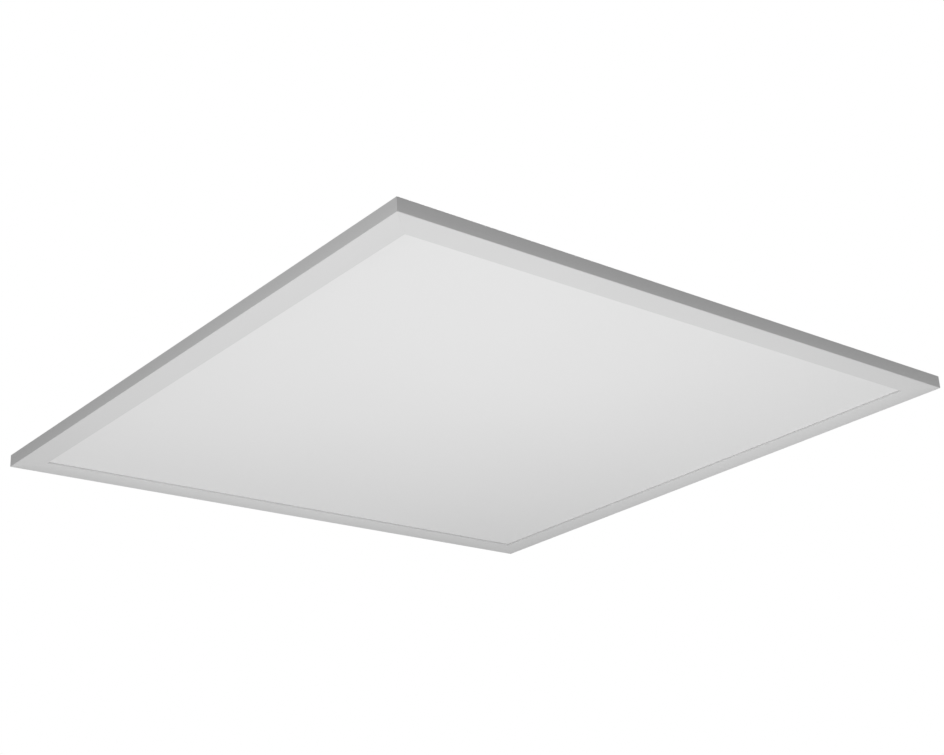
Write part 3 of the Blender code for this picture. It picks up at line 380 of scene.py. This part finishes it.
def floor_material():
    """Matt pale floor near the panel. Further out it takes on the surround's own white."""
    look = Look("floor_pale", (0.86, 0.86, 0.86), 0.7)
    look.set("Base Color", look.shades(look.noise(1.5, 4), (0.3, grey(0.855)), (0.7, grey(0.87))))
    look.bump(look.noise(40, 4), 0.2 * MM, 0.3)
    out = look.node("ShaderNodeVectorMath", {0: look.place}, operation="LENGTH").outputs["Value"]
    far = look.between(out, 0, 1, 1.5, 6)
    path = look.node("ShaderNodeLightPath", {})
    strength = look.between(path.outputs["Is Camera Ray"], 0.42, 1.0, 0, 1)
    glow = look.node("ShaderNodeEmission", {"Color": (1, 1, 1, 1), "Strength": strength}).outputs["Emission"]
    mixed = look.node("ShaderNodeMixShader", {0: far, 1: look.shader.outputs["BSDF"], 2: glow})
    look.tree.links.new(mixed.outputs["Shader"], look.tree.nodes["Material Output"].inputs["Surface"])
    return look.material


def make_materials():
    """One material for each of the record's slots."""
    return {
        "frame": powder_coat(),
        "diffuser": opal(),
        "light_guide": light_guide(),
        "reflector": film(),
        "foam": foam(),
        "back_plate": painted_sheet(),
        "galvanised": galvanised(),
        "zinc": zinc_plate(),
        "diecast": cast_metal(),
        "led_strip": led_board(),
        "rubber": rubber(),
        "grey_nylon": moulded("grey_nylon", (0.44, 0.45, 0.47), 0.45),
        "lever": moulded("orange_lever", (0.86, 0.26, 0.03), 0.32, depth=0.01),
        "driver_plastic": moulded("white_polycarbonate", (0.80, 0.80, 0.78), 0.38, 1300, 0.03),
        "board": circuit_board(),
        "ferrite": ferrite(),
        "sleeve": moulded("capacitor_sleeve", (0.02, 0.04, 0.10), 0.3, depth=0.005),
        "lead_brown": pvc("pvc_brown", (0.20, 0.075, 0.03)),
        "lead_blue": pvc("pvc_blue", (0.03, 0.13, 0.50)),
        "lead_green": pvc("pvc_green", (0.06, 0.30, 0.05), (0.80, 0.66, 0.03)),
        "lead_white": pvc("pvc_white", (0.82, 0.82, 0.80)),
    }


# ---------------------------------------------------------------- mesh work


def new_piece(name, bm, material, node=None, part_of=None):
    """Makes an object of a bmesh. It stands for one CAD node, or is part of another piece that does."""
    bmesh.ops.recalc_face_normals(bm, faces=bm.faces)
    mesh = bpy.data.meshes.new(name)
    bm.to_mesh(mesh)
    bm.free()
    mesh.materials.append(material)
    mesh.shade_smooth()
    mesh.set_sharp_from_angle(angle=SHARP)
    piece = add_object(name, mesh)
    if node:
        stand_for(piece, node)
    elif part_of:
        belong_to(piece, part_of)
    return piece


def add_object(name, mesh):
    piece = bpy.data.objects.new(name, mesh)
    bpy.context.scene.collection.objects.link(piece)
    return piece


def belong_to(piece, node):
    """The piece moves with the node's body."""
    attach(piece, BODY[node])


def stand_for(piece, node):
    belong_to(piece, node)
    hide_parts(node)


def round_edges(piece, radius, segments=2):
    bevel = piece.modifiers.new("round_edges", "BEVEL")
    bevel.width = radius
    bevel.segments = segments
    bevel.limit_method = "ANGLE"
    bevel.angle_limit = math.radians(40)
    bevel.harden_normals = True


def even_shading(piece):
    """Keeps large flat faces flat beside small curved ones."""
    weighted = piece.modifiers.new("even_shading", "WEIGHTED_NORMAL")
    weighted.keep_sharp = True


def refined(node, materials, edge=0.0, subdivide=0, stretch=(1, 1, 1)):
    """A finer piece in place of a CAD node: facets joined, edges rounded, curves shaded smooth."""
    bm = bmesh.new()
    bm.from_mesh(frame["nodes"][node].data)
    bmesh.ops.remove_doubles(bm, verts=bm.verts, dist=0.002 * MM)
    bmesh.ops.dissolve_limit(bm, angle_limit=math.radians(0.5), verts=bm.verts, edges=bm.edges)
    bmesh.ops.scale(bm, vec=stretch, verts=bm.verts)
    clean = bpy.data.meshes.new(node)
    bmesh.ops.recalc_face_normals(bm, faces=bm.faces)
    index = {v: i for i, v in enumerate(bm.verts)}
    faces = [[index[v] for v in f.verts] for f in bm.faces]
    clean.from_pydata([v.co for v in bm.verts], [], faces)
    bm.free()
    clean.materials.append(materials[SLOT[node]])
    clean.shade_smooth()
    clean.set_sharp_from_angle(angle=SHARP)
    piece = add_object(f"{node}_fine", clean)
    if edge:
        round_edges(piece, edge)
    if subdivide:
        surface = piece.modifiers.new("rounder", "SUBSURF")
        surface.levels = subdivide
        surface.render_levels = subdivide
    stand_for(piece, node)
    return piece


def add_rings(bm, rings, cap_first=False, cap_last=False, closed=False):
    """Joins rings of as many points with quads, and caps or closes them."""
    loops = [[bm.verts.new(p) for p in ring] for ring in rings]
    pairs = list(zip(loops, loops[1:]))
    if closed:
        pairs.append((loops[-1], loops[0]))
    for low, high in pairs:
        for i in range(len(low)):
            j = (i + 1) % len(low)
            bm.faces.new((low[i], low[j], high[j], high[i]))
    if cap_first:
        bm.faces.new(loops[0])
    if cap_last:
        bm.faces.new(loops[-1])
    return loops


def add_turned(bm, profile, matrix, steps=32, knurl=0.0):
    """Turns a closed (radius, height) profile about the matrix's Z axis, with a knurl where it is widest."""
    widest = max(radius for radius, height in profile)
    rings = []
    for radius, height in profile:
        ring = []
        for step in range(steps):
            groove = knurl if step % 2 and radius > 0.85 * widest else 0
            angle = math.tau * step / steps
            reach = max(radius - groove, AXIS)
            ring.append(matrix @ Vector((reach * math.cos(angle), reach * math.sin(angle), height)))
        rings.append(ring)
    solid = profile[0][0] <= 2 * AXIS
    add_rings(bm, rings, cap_first=solid, cap_last=solid, closed=not solid)


def rounded_rectangle(x0, y0, x1, y1, radius, z, steps=6):
    """A ring of points, anticlockwise from the corner at x1, y0."""
    ring = []
    corners = ((x1, y0, -90), (x1, y1, 0), (x0, y1, 90), (x0, y0, 180))
    for x, y, start in corners:
        cx = x - math.copysign(radius, x - (x0 + x1) / 2)
        cy = y - math.copysign(radius, y - (y0 + y1) / 2)
        for step in range(steps + 1):
            angle = math.radians(start + 90 * step / steps)
            ring.append(Vector((cx + radius * math.cos(angle), cy + radius * math.sin(angle), z)))
    return ring


def add_plate(bm, outline, low, high):
    """A flat plate between two heights, from a ring of points whose own height is ignored."""
    under, over = [[bm.verts.new((p.x, p.y, z)) for p in outline] for z in (low, high)]
    for i in range(len(under)):
        j = (i + 1) % len(under)
        bm.faces.new((under[i], under[j], over[j], over[i]))
    triangles = tessellate_polygon([[Vector((p.x, p.y, 0)) / MM for p in outline]])
    for side in (under, over):
        for triangle in triangles:
            bm.faces.new([side[i] for i in triangle])


def add_box(bm, low, high):
    """A box between two corners."""
    corners = ((low[0], low[1], 0), (high[0], low[1], 0), (high[0], high[1], 0), (low[0], high[1], 0))
    add_plate(bm, [Vector(corner) for corner in corners], low[2], high[2])


def along_x(x, y, z):
    """A frame whose Z axis points along the row's X."""
    return Matrix.Translation((x, y, z)) @ Matrix.Rotation(math.pi / 2, 4, "Y")


def cut_with(piece, cutter_bm):
    """Cuts a closed shape out of the piece and applies the result."""
    mesh = bpy.data.meshes.new("cutter")
    bmesh.ops.recalc_face_normals(cutter_bm, faces=cutter_bm.faces)
    cutter_bm.to_mesh(mesh)
    cutter_bm.free()
    cutter = add_object("cutter", mesh)
    modifier = piece.modifiers.new("cut", "BOOLEAN")
    modifier.object = cutter
    modifier.solver = "EXACT"
    bpy.context.view_layer.update()
    graph = bpy.context.evaluated_depsgraph_get()
    cut = bpy.data.meshes.new_from_object(piece.evaluated_get(graph))
    piece.modifiers.remove(modifier)
    bpy.data.objects.remove(cutter)
    cut.shade_smooth()
    cut.set_sharp_from_angle(angle=SHARP)
    return cut


def drill(piece, *bores):
    """Cuts round holes in the finished sheet: each a frame whose Z axis runs down the hole, and a radius."""
    cutter = bmesh.new()
    reach = 4 * MM
    for matrix, radius in bores:
        add_turned(cutter, [(AXIS, -reach), (radius, -reach), (radius, reach), (AXIS, reach)], matrix, 48)
    apply_cut(piece, cutter)


def apply_cut(piece, cutter_bm):
    """The piece keeps the cut in its own mesh, in place of its modifiers."""
    piece.data = cut_with(piece, cutter_bm)
    piece.modifiers.clear()
    even_shading(piece)


def make_sheet(piece, thickness):
    """Thickens an outer skin inwards."""
    sheet = piece.modifiers.new("sheet", "SOLIDIFY")
    sheet.thickness = thickness
    sheet.offset = -1


def middle(node):
    """The centre of a node's box."""
    low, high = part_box(node)
    return (low + high) / 2


def arc(radius, start, step, count):
    """(x, y) points round a circle about the origin, by angle in degrees."""
    angles = [math.radians(start + step * i) for i in range(count)]
    return [(radius * math.cos(a), radius * math.sin(a)) for a in angles]


# ---------------------------------------------------------------- back plate

BEAD_HIGH = 1.6 * MM
BEAD_BASE = 7 * MM  # half width where a bead rises from the sheet
BEAD_CREST = 3.2 * MM  # half width of its flat top
BEAD_STEPS = 8
EDGE_BEAD_AT = 235 * MM
EDGE_BEAD_LENGTH = 400 * MM
FIELD_BEAD_XS = [x * MM for x in (-160, -80, 0, 80, 160)]
FIELD_BEAD_Y = -65 * MM
FIELD_BEAD_LENGTH = 250 * MM
PLATE_CORNER = 2 * MM


def stadium(x, y, length, along_y, half, z):
    """A ring of points with round ends, as long as the bead's base leaves it."""
    straight = length / 2 - BEAD_BASE
    ring = []
    for centre, start in ((straight, -90), (-straight, 90)):
        for across, side in arc(half, start, 15, 13):
            u = centre + across
            ring.append(Vector((x - side, y + u, z)) if along_y else Vector((x + u, y + side, z)))
    return ring


def add_bead(bm, x, y, length, along_y, sheet_top):
    """A pressed bead, with an S-shaped rise from the sheet. Returns its lowest loop."""
    rings = []
    for step in range(BEAD_STEPS + 1):
        share = step / BEAD_STEPS
        half = BEAD_BASE + (BEAD_CREST - BEAD_BASE) * share
        rise = BEAD_HIGH * (0.5 - 0.5 * math.cos(math.pi * share))
        rings.append(stadium(x, y, length, along_y, half, sheet_top + rise))
    return add_rings(bm, rings, cap_last=True)[0]


def make_back_plate(materials):
    """The sheet's upper face with its pressed beads, thickened downwards."""
    low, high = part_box("back_plate")
    top = low.z + PLATE_SHEET
    beads = [(0, side * EDGE_BEAD_AT, EDGE_BEAD_LENGTH, False) for side in (-1, 1)]
    beads += [(side * EDGE_BEAD_AT, 0, EDGE_BEAD_LENGTH, True) for side in (-1, 1)]
    beads += [(x, FIELD_BEAD_Y, FIELD_BEAD_LENGTH, True) for x in FIELD_BEAD_XS]
    bm = bmesh.new()
    outline = rounded_rectangle(low.x, low.y, high.x, high.y, PLATE_CORNER, top)
    loops = [[bm.verts.new(point) for point in outline]]
    loops += [add_bead(bm, *bead, top) for bead in beads]
    flat = [vert for loop in loops for vert in loop]
    rings = [[Vector((vert.co.x, vert.co.y, 0)) / MM for vert in loop] for loop in loops]
    for triangle in tessellate_polygon(rings):
        bm.faces.new([flat[i] for i in triangle])
    plate = new_piece("back_plate_pressed", bm, materials["back_plate"], node="back_plate")
    make_sheet(plate, PLATE_SHEET)
    drill(plate, (Matrix.Translation(middle("lead_grommet")), EXIT_HOLE))


# ---------------------------------------------------------------- screws and other turned pieces


def screw_mesh(name, material, radius, high, length, shank=1.4 * MM):
    """A pan head screw with a cross recess, its origin under the head."""
    bm = bmesh.new()
    thread = []
    depth = length
    pitch = 0.5 * MM
    while depth > pitch:
        thread += [(shank * 0.8, -depth + pitch / 2), (shank, -depth + pitch)]
        depth -= pitch
    profile = [(AXIS, -length), (shank * 0.55, -length), *thread, (shank, 0)]
    profile += [(radius * 0.97, 0), (radius, high * 0.12)]
    profile += [(max(radius * x, AXIS), high * (0.35 + 0.65 * y)) for x, y in arc(1, 0, 15, 7)]
    add_turned(bm, profile, Matrix.Identity(4), 24)
    bmesh.ops.recalc_face_normals(bm, faces=bm.faces)
    mesh = bpy.data.meshes.new(name)
    bm.to_mesh(mesh)
    bm.free()
    mesh.materials.append(material)
    blank = add_object(name, mesh)
    arm, half = radius * 0.58, radius * 0.17
    plus = [(arm, -half), (arm, half), (half, half), (half, arm), (-half, arm), (-half, half)]
    plus += [(-x, -y) for x, y in plus]
    recess = bmesh.new()
    rings = [[Vector((x * s, y * s, z)) for x, y in plus] for s, z in ((0.55, high * 0.3), (1.0, high + 0.2 * MM))]
    add_rings(recess, rings, cap_first=True, cap_last=True)
    cut = cut_with(blank, recess)
    bpy.data.objects.remove(blank)
    return cut


def make_screws(materials):
    """Every screw stands where its CAD node's head does."""
    small, large = (2.3, 1.5), (2.8, 2.0)
    heads = {"back_screw": small, "clamp_screw": large, "earth_screw": large, "driver_screw": large}
    for kind, (radius, high) in heads.items():
        nodes = sorted(n for n in frame["nodes"] if n.startswith(kind))
        low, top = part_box(nodes[0])
        length = top.z - low.z - high * MM
        mesh = screw_mesh(f"{kind}_mesh", materials["zinc"], radius * MM, high * MM, length)
        for number, node in enumerate(nodes):
            low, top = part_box(node)
            screw = add_object(f"{node}_fine", mesh)
            screw.location = ((low.x + top.x) / 2, (low.y + top.y) / 2, top.z - high * MM)
            screw.rotation_euler.z = math.radians(37 * number % 90)
            stand_for(screw, node)


def make_stud(materials):
    """The cover's quarter turn latch: knurled head with a slot, shank, and the cam riveted on its end."""
    low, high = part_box("cover_stud")
    place = middle("cover_stud")
    radius = (high.y - low.y) / 2
    seat = 4.6 * MM  # the head's underside, below its top
    shank = [(0.01, 0), (1.2, 0), (1.6, 0.3), (1.6, 0.6), (1.9, 0.6)]
    profile = [(r * MM, low.z + z * MM) for r, z in shank] + [(1.9 * MM, high.z - seat)]
    head = [(0.4 * MM, seat), (0, seat - 0.4 * MM), (0, 1.0 * MM), (0.3 * MM, 0.6 * MM), (1.0 * MM, 0.1 * MM)]
    head += [(1.6 * MM, 0), (radius - AXIS, 0)]
    profile += [(radius - inset, high.z - depth) for inset, depth in head]
    bm = bmesh.new()
    add_turned(bm, profile, Matrix.Translation((place.x, place.y, 0)), 72, 0.22 * MM)
    stud = new_piece("cover_stud_fine", bm, materials["zinc"], node="cover_stud")
    slot = bmesh.new()
    slot_half, slot_deep, beyond = 0.6 * MM, 1.3 * MM, 1.4 * MM
    reach = radius + beyond
    slot_low = (place.x - reach, place.y - slot_half, high.z - slot_deep)
    add_box(slot, slot_low, (place.x + reach, place.y + slot_half, high.z + MM))
    stud.data = cut_with(stud, slot)
    bm = bmesh.new()
    cam_half = 1.9 * MM
    outline = rounded_rectangle(low.x, place.y - cam_half, high.x, place.y + cam_half, 1.5 * MM, 0)
    add_plate(bm, outline, low.z + 0.6 * MM, low.z + 2 * MM)
    cam = new_piece("cover_stud_cam", bm, materials["zinc"], part_of="cover_stud")
    round_edges(cam, 0.2 * MM)


def make_grommets(materials):
    """Rubber bushes with soft, rolled flanges."""
    low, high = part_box("cable_grommet")
    half = (high.x - low.x) / 2
    profile = grommet_profile(4.5 * MM, (high.y - low.y) / 2, 7 * MM, half, 0.45 * MM)
    bm = bmesh.new()
    add_turned(bm, profile, along_x(*middle("cable_grommet")), 48)
    new_piece("cable_grommet_fine", bm, materials["rubber"], node="cable_grommet")
    low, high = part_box("lead_grommet")
    half = (high.z - low.z) / 2
    profile = grommet_profile(3 * MM, (high.x - low.x) / 2, 4.8 * MM, half, half - 1.2 * MM)
    bm = bmesh.new()
    add_turned(bm, profile, Matrix.Translation(middle("lead_grommet")), 40)
    new_piece("lead_grommet_fine", bm, materials["rubber"], node="lead_grommet")


def grommet_profile(bore, flange, neck, half, neck_half):
    """(radius, height) points round a grommet's section, each flange's outer edge rounded."""
    lip = (half - neck_half) / 2
    soft = 0.3 * MM
    rolled = [(flange - lip + x, half - lip + y) for x, y in arc(lip, -90, 22.5, 9)]
    inner = [(bore + soft - x, half - soft + y) for x, y in arc(soft, 90, -30, 4)]
    top = [(neck, neck_half), *rolled, *inner]
    bottom = [(r, -z) for r, z in reversed(top)]
    return top + bottom


def make_hinge_pins(materials):
    """A rivet in each hinge, its domed head at one end."""
    shaft, shoulder, crown = 1.0 * MM, 1.2 * MM, 0.9 * MM
    for side in ("left", "right"):
        node = f"hinge_pin_{side}"
        low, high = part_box(node)
        half = (high.x - low.x) / 2
        head = (high.y - low.y) / 2
        profile = [(AXIS, -half), (shaft * 0.7, -half), (shaft, -half + 0.3 * MM), (shaft, half - shoulder)]
        profile.append((head, half - shoulder))
        profile += [(head * x, half - crown + crown * y) for x, y in arc(1, 0, 15, 6)]
        profile.append((AXIS, half))
        bm = bmesh.new()
        add_turned(bm, profile, along_x(*middle(node)), 28)
        new_piece(f"{node}_fine", bm, materials["zinc"], node=node)


# ---------------------------------------------------------------- gear tray and cover

HINGE_XS = (-85 * MM, 85 * MM)
TRAY_KNUCKLE_HALF = 6 * MM
COVER_KNUCKLE_LONG = 7 * MM
KNUCKLE_GAP = 0.3 * MM
KNUCKLE = 2.2 * MM  # outer radius
KNUCKLE_BORE = 1.1 * MM
TRAY_TOP = 38 * MM
TRAY_CORNER = 2 * MM
COVER_CORNER = 3.1 * MM
LATCH_TAB_HALF = 9 * MM
STUD_HOLE = 2.2 * MM
WELDS = [(x * MM, 110 * MM) for x in (-96, -30, 40, 116)] + [(x * MM, 190 * MM) for x in (-118, -40, 40, 116)]


def hinge_axis():
    joint = next(j for j in frame["joints"] if j["name"] == "cover_hinge")
    return Vector(joint["pos_m"])


def add_knuckle(bm, x0, x1, hinge, web_front, web_low, web_high):
    """A rolled knuckle round the hinge pin and the tongue of sheet it grows from."""
    edge = 0.15 * MM
    half = (x1 - x0) / 2
    profile = [(KNUCKLE_BORE, -half), (KNUCKLE - edge, -half), (KNUCKLE, -half + edge)]
    profile += [(radius, -height) for radius, height in reversed(profile)]
    add_turned(bm, profile, along_x((x0 + x1) / 2, hinge.y, hinge.z), 36)
    add_box(bm, (x0, web_front, web_low), (x1, hinge.y - 1.6 * MM, web_high))


def fold_rings(edges, corner, start, direction, steps=7):
    """Rings round a quarter circle fold, from the flat face at height start into the walls."""
    x0, y0, x1, y1 = edges
    rings = []
    for step in range(steps):
        angle = math.radians(90 * step / (steps - 1))
        inset = BEND * (1 - math.sin(angle))
        z = start + direction * BEND * (1 - math.cos(angle))
        rings.append(rounded_rectangle(x0 + inset, y0 + inset, x1 - inset, y1 - inset, corner - inset, z))
    return rings


def make_tray(materials):
    """Deep drawn galvanised tray: the outer skin, thickened inwards, and the fittings on it."""
    low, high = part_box("gear_tray")
    hinge = hinge_axis()
    rear = hinge.y - 2.4 * MM
    edges = (low.x, low.y, high.x, rear)
    bm = bmesh.new()
    rings = fold_rings(edges, TRAY_CORNER, low.z, 1)
    rings.append(rounded_rectangle(*edges, TRAY_CORNER, TRAY_TOP))
    add_rings(bm, rings, cap_first=True)
    tray = new_piece("gear_tray_skin", bm, materials["galvanised"], node="gear_tray")
    make_sheet(tray, SHEET)
    entry = along_x(low.x, *middle("cable_grommet").yz)
    drill(tray, (entry, ENTRY_HOLE), (Matrix.Translation(middle("lead_grommet")), EXIT_HOLE))
    bm = bmesh.new()
    for x in HINGE_XS:
        ends = (x - TRAY_KNUCKLE_HALF, x + TRAY_KNUCKLE_HALF)
        add_knuckle(bm, *ends, hinge, rear, TRAY_TOP - SHEET, TRAY_TOP)
    add_latch_tab(bm, low.y)
    add_bosses(bm)
    add_welds(bm, low.z + SHEET)
    new_piece("gear_tray_fittings", bm, materials["galvanised"], part_of="gear_tray")


def add_latch_tab(bm, front):
    """The tab on the front wall's upper edge, which the cover's cam turns in under."""
    wall = front + SHEET
    rear = middle("cover_stud").y - 3 * MM
    ring = rounded_rectangle(-LATCH_TAB_HALF, front, LATCH_TAB_HALF, rear, 2 * MM, 0)
    free_end = [point for point in ring if point.y > (front + rear) / 2]
    outline = [Vector((-LATCH_TAB_HALF, wall, 0)), Vector((LATCH_TAB_HALF, wall, 0)), *free_end]
    add_plate(bm, outline, TRAY_TOP - SHEET, TRAY_TOP)


def add_bosses(bm):
    """The drawn bosses that the cord clamp's screws go into."""
    section = [(1.7, 12.9), (1.7, 16), (2.8, 16), (3.0, 15.8), (3.0, 13.0), (3.6, 12.3)]
    for side in ("front", "rear"):
        place = middle(f"clamp_screw_{side}")
        add_turned(bm, [(r * MM, z * MM) for r, z in section], Matrix.Translation((place.x, place.y, 0)), 32)


def add_welds(bm, tray_floor):
    """The shallow rings that spot welding leaves."""
    section = [(0.01, 0.02), (2.6, 0.02), (2.9, 0.12), (3.3, 0.12), (3.6, -0.05), (0.01, -0.05)]
    for x, y in WELDS:
        add_turned(bm, [(r * MM, z * MM) for r, z in section], Matrix.Translation((x, y, tray_floor)), 28)


def make_cover(materials):
    """Pressed cover: lips on the front and ends, open at the rear, where its knuckles are."""
    low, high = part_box("gear_cover")
    hinge = hinge_axis()
    rear = hinge.y - 2.5 * MM
    top = hinge.z + SHEET / 2
    overrun = 10 * MM  # the rear lip and its fold, which are cut off again
    edges = (low.x, low.y, high.x, rear + overrun)
    bm = bmesh.new()
    rings = fold_rings(edges, COVER_CORNER, top, -1)
    rings.append(rounded_rectangle(*edges, COVER_CORNER, low.z))
    add_rings(bm, rings[::-1], cap_last=True)
    everything = bm.verts[:] + bm.edges[:] + bm.faces[:]
    bmesh.ops.bisect_plane(bm, geom=everything, plane_co=(0, rear, 0), plane_no=(0, 1, 0), clear_outer=True)
    cover = new_piece("gear_cover_skin", bm, materials["galvanised"], node="gear_cover")
    make_sheet(cover, SHEET)
    drill(cover, (Matrix.Translation(middle("cover_stud")), STUD_HOLE))
    bm = bmesh.new()
    for x in HINGE_XS:
        for side in (-1, 1):
            near = x + side * (TRAY_KNUCKLE_HALF + KNUCKLE_GAP)
            ends = sorted((near, near + side * COVER_KNUCKLE_LONG))
            add_knuckle(bm, *ends, hinge, rear, top - SHEET, top)
    new_piece("gear_cover_knuckles", bm, materials["galvanised"], part_of="gear_cover")


# ---------------------------------------------------------------- terminal block and driver


def make_terminals(materials):
    """The terminal block and its levers, each with three grip ridges near its free end."""
    refined("terminal_block", materials, 0.25 * MM)
    ridge, first, pitch = 0.4 * MM, 1.6 * MM, 1.4 * MM
    for pole in ("live", "earth", "neutral"):
        node = f"terminal_lever_{pole}"
        refined(node, materials, 0.3 * MM)
        low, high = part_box(node)
        half = (high.y - low.y) / 2 - 0.8 * MM
        profile = [(AXIS, -half), (0.75 * ridge, -half), (ridge, -half + ridge / 2)]
        profile += [(radius, -height) for radius, height in reversed(profile)]
        bm = bmesh.new()
        for number in range(3):
            place = (high.x - first - pitch * number, (low.y + high.y) / 2, high.z - 0.1 * MM)
            across = Matrix.Translation(place) @ Matrix.Rotation(math.pi / 2, 4, "X")
            add_turned(bm, profile, across, 16)
        new_piece(f"{node}_grip", bm, materials["lever"], part_of=node)


def make_crimp(materials):
    """The earth lug's barrel, closed round the end of the earth lead."""
    refined("earth_lug", materials, 0.1 * MM)
    lug_low, lug_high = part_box("earth_lug")
    lead_axis_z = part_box("lead_earth")[0].z + 1.0 * MM
    mouth = [(1.05, -2.6), (1.35, -2.6), (1.45, -2.2), (1.2, -0.6)]
    section = mouth + [(radius, -height) for radius, height in reversed(mouth)]
    place = Matrix.Translation(((lug_low.x + lug_high.x) / 2, lug_high.y, lead_axis_z))
    bm = bmesh.new()
    profile = [(r * MM, h * MM) for r, h in section]
    add_turned(bm, profile, place @ Matrix.Rotation(-math.pi / 2, 4, "X"), 24)
    new_piece("earth_lug_barrel", bm, materials["zinc"], part_of="earth_lug")


def make_driver(materials):
    """The driver's shell, with the sunk bed in its lid that a label goes in."""
    refined("driver_case", materials, 0.4 * MM)
    lid = refined("driver_lid", materials, 0.6 * MM)
    low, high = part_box("driver_lid")
    bed = bmesh.new()
    outline = rounded_rectangle(low.x + 12 * MM, low.y + 6 * MM, high.x - 12 * MM, high.y - 6 * MM, 3 * MM, 0)
    add_plate(bed, outline, high.z - 0.3 * MM, high.z + MM)
    apply_cut(lid, bed)


def make_refined(materials):
    """CAD nodes whose shape is right, with rounded edges. The rails meet in their mitres without the CAD's gap."""
    mitre_gap = 0.16 * MM
    closed = 1 + mitre_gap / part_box("frame_rail_front")[1].x / 2
    for side in ("front", "rear"):
        refined(f"frame_rail_{side}", materials, stretch=(closed, 1, 1))
    for side in ("left", "right"):
        refined(f"frame_rail_{side}", materials, stretch=(1, closed, 1))
    refined("clamp_bar", materials, 0.35 * MM)
    refined("lever_rod", materials)
    make_driver(materials)
    for lead in ("lead_live", "lead_neutral", "lead_earth", "strip_lead_left", "strip_lead_right"):
        refined(lead, materials, subdivide=1)


def finish_cad_nodes(materials):
    """Every node that is still the CAD's own takes its slot's material."""
    for name, node in frame["nodes"].items():
        node.data.materials.clear()
        node.data.materials.append(materials[SLOT[name]])


def main():
    make_camera()
    make_light()
    make_floor()
    materials = make_materials()
    finish_cad_nodes(materials)
    make_refined(materials)
    make_back_plate(materials)
    make_screws(materials)
    make_stud(materials)
    make_grommets(materials)
    make_hinge_pins(materials)
    make_tray(materials)
    make_cover(materials)
    make_terminals(materials)
    make_crimp(materials)


main()
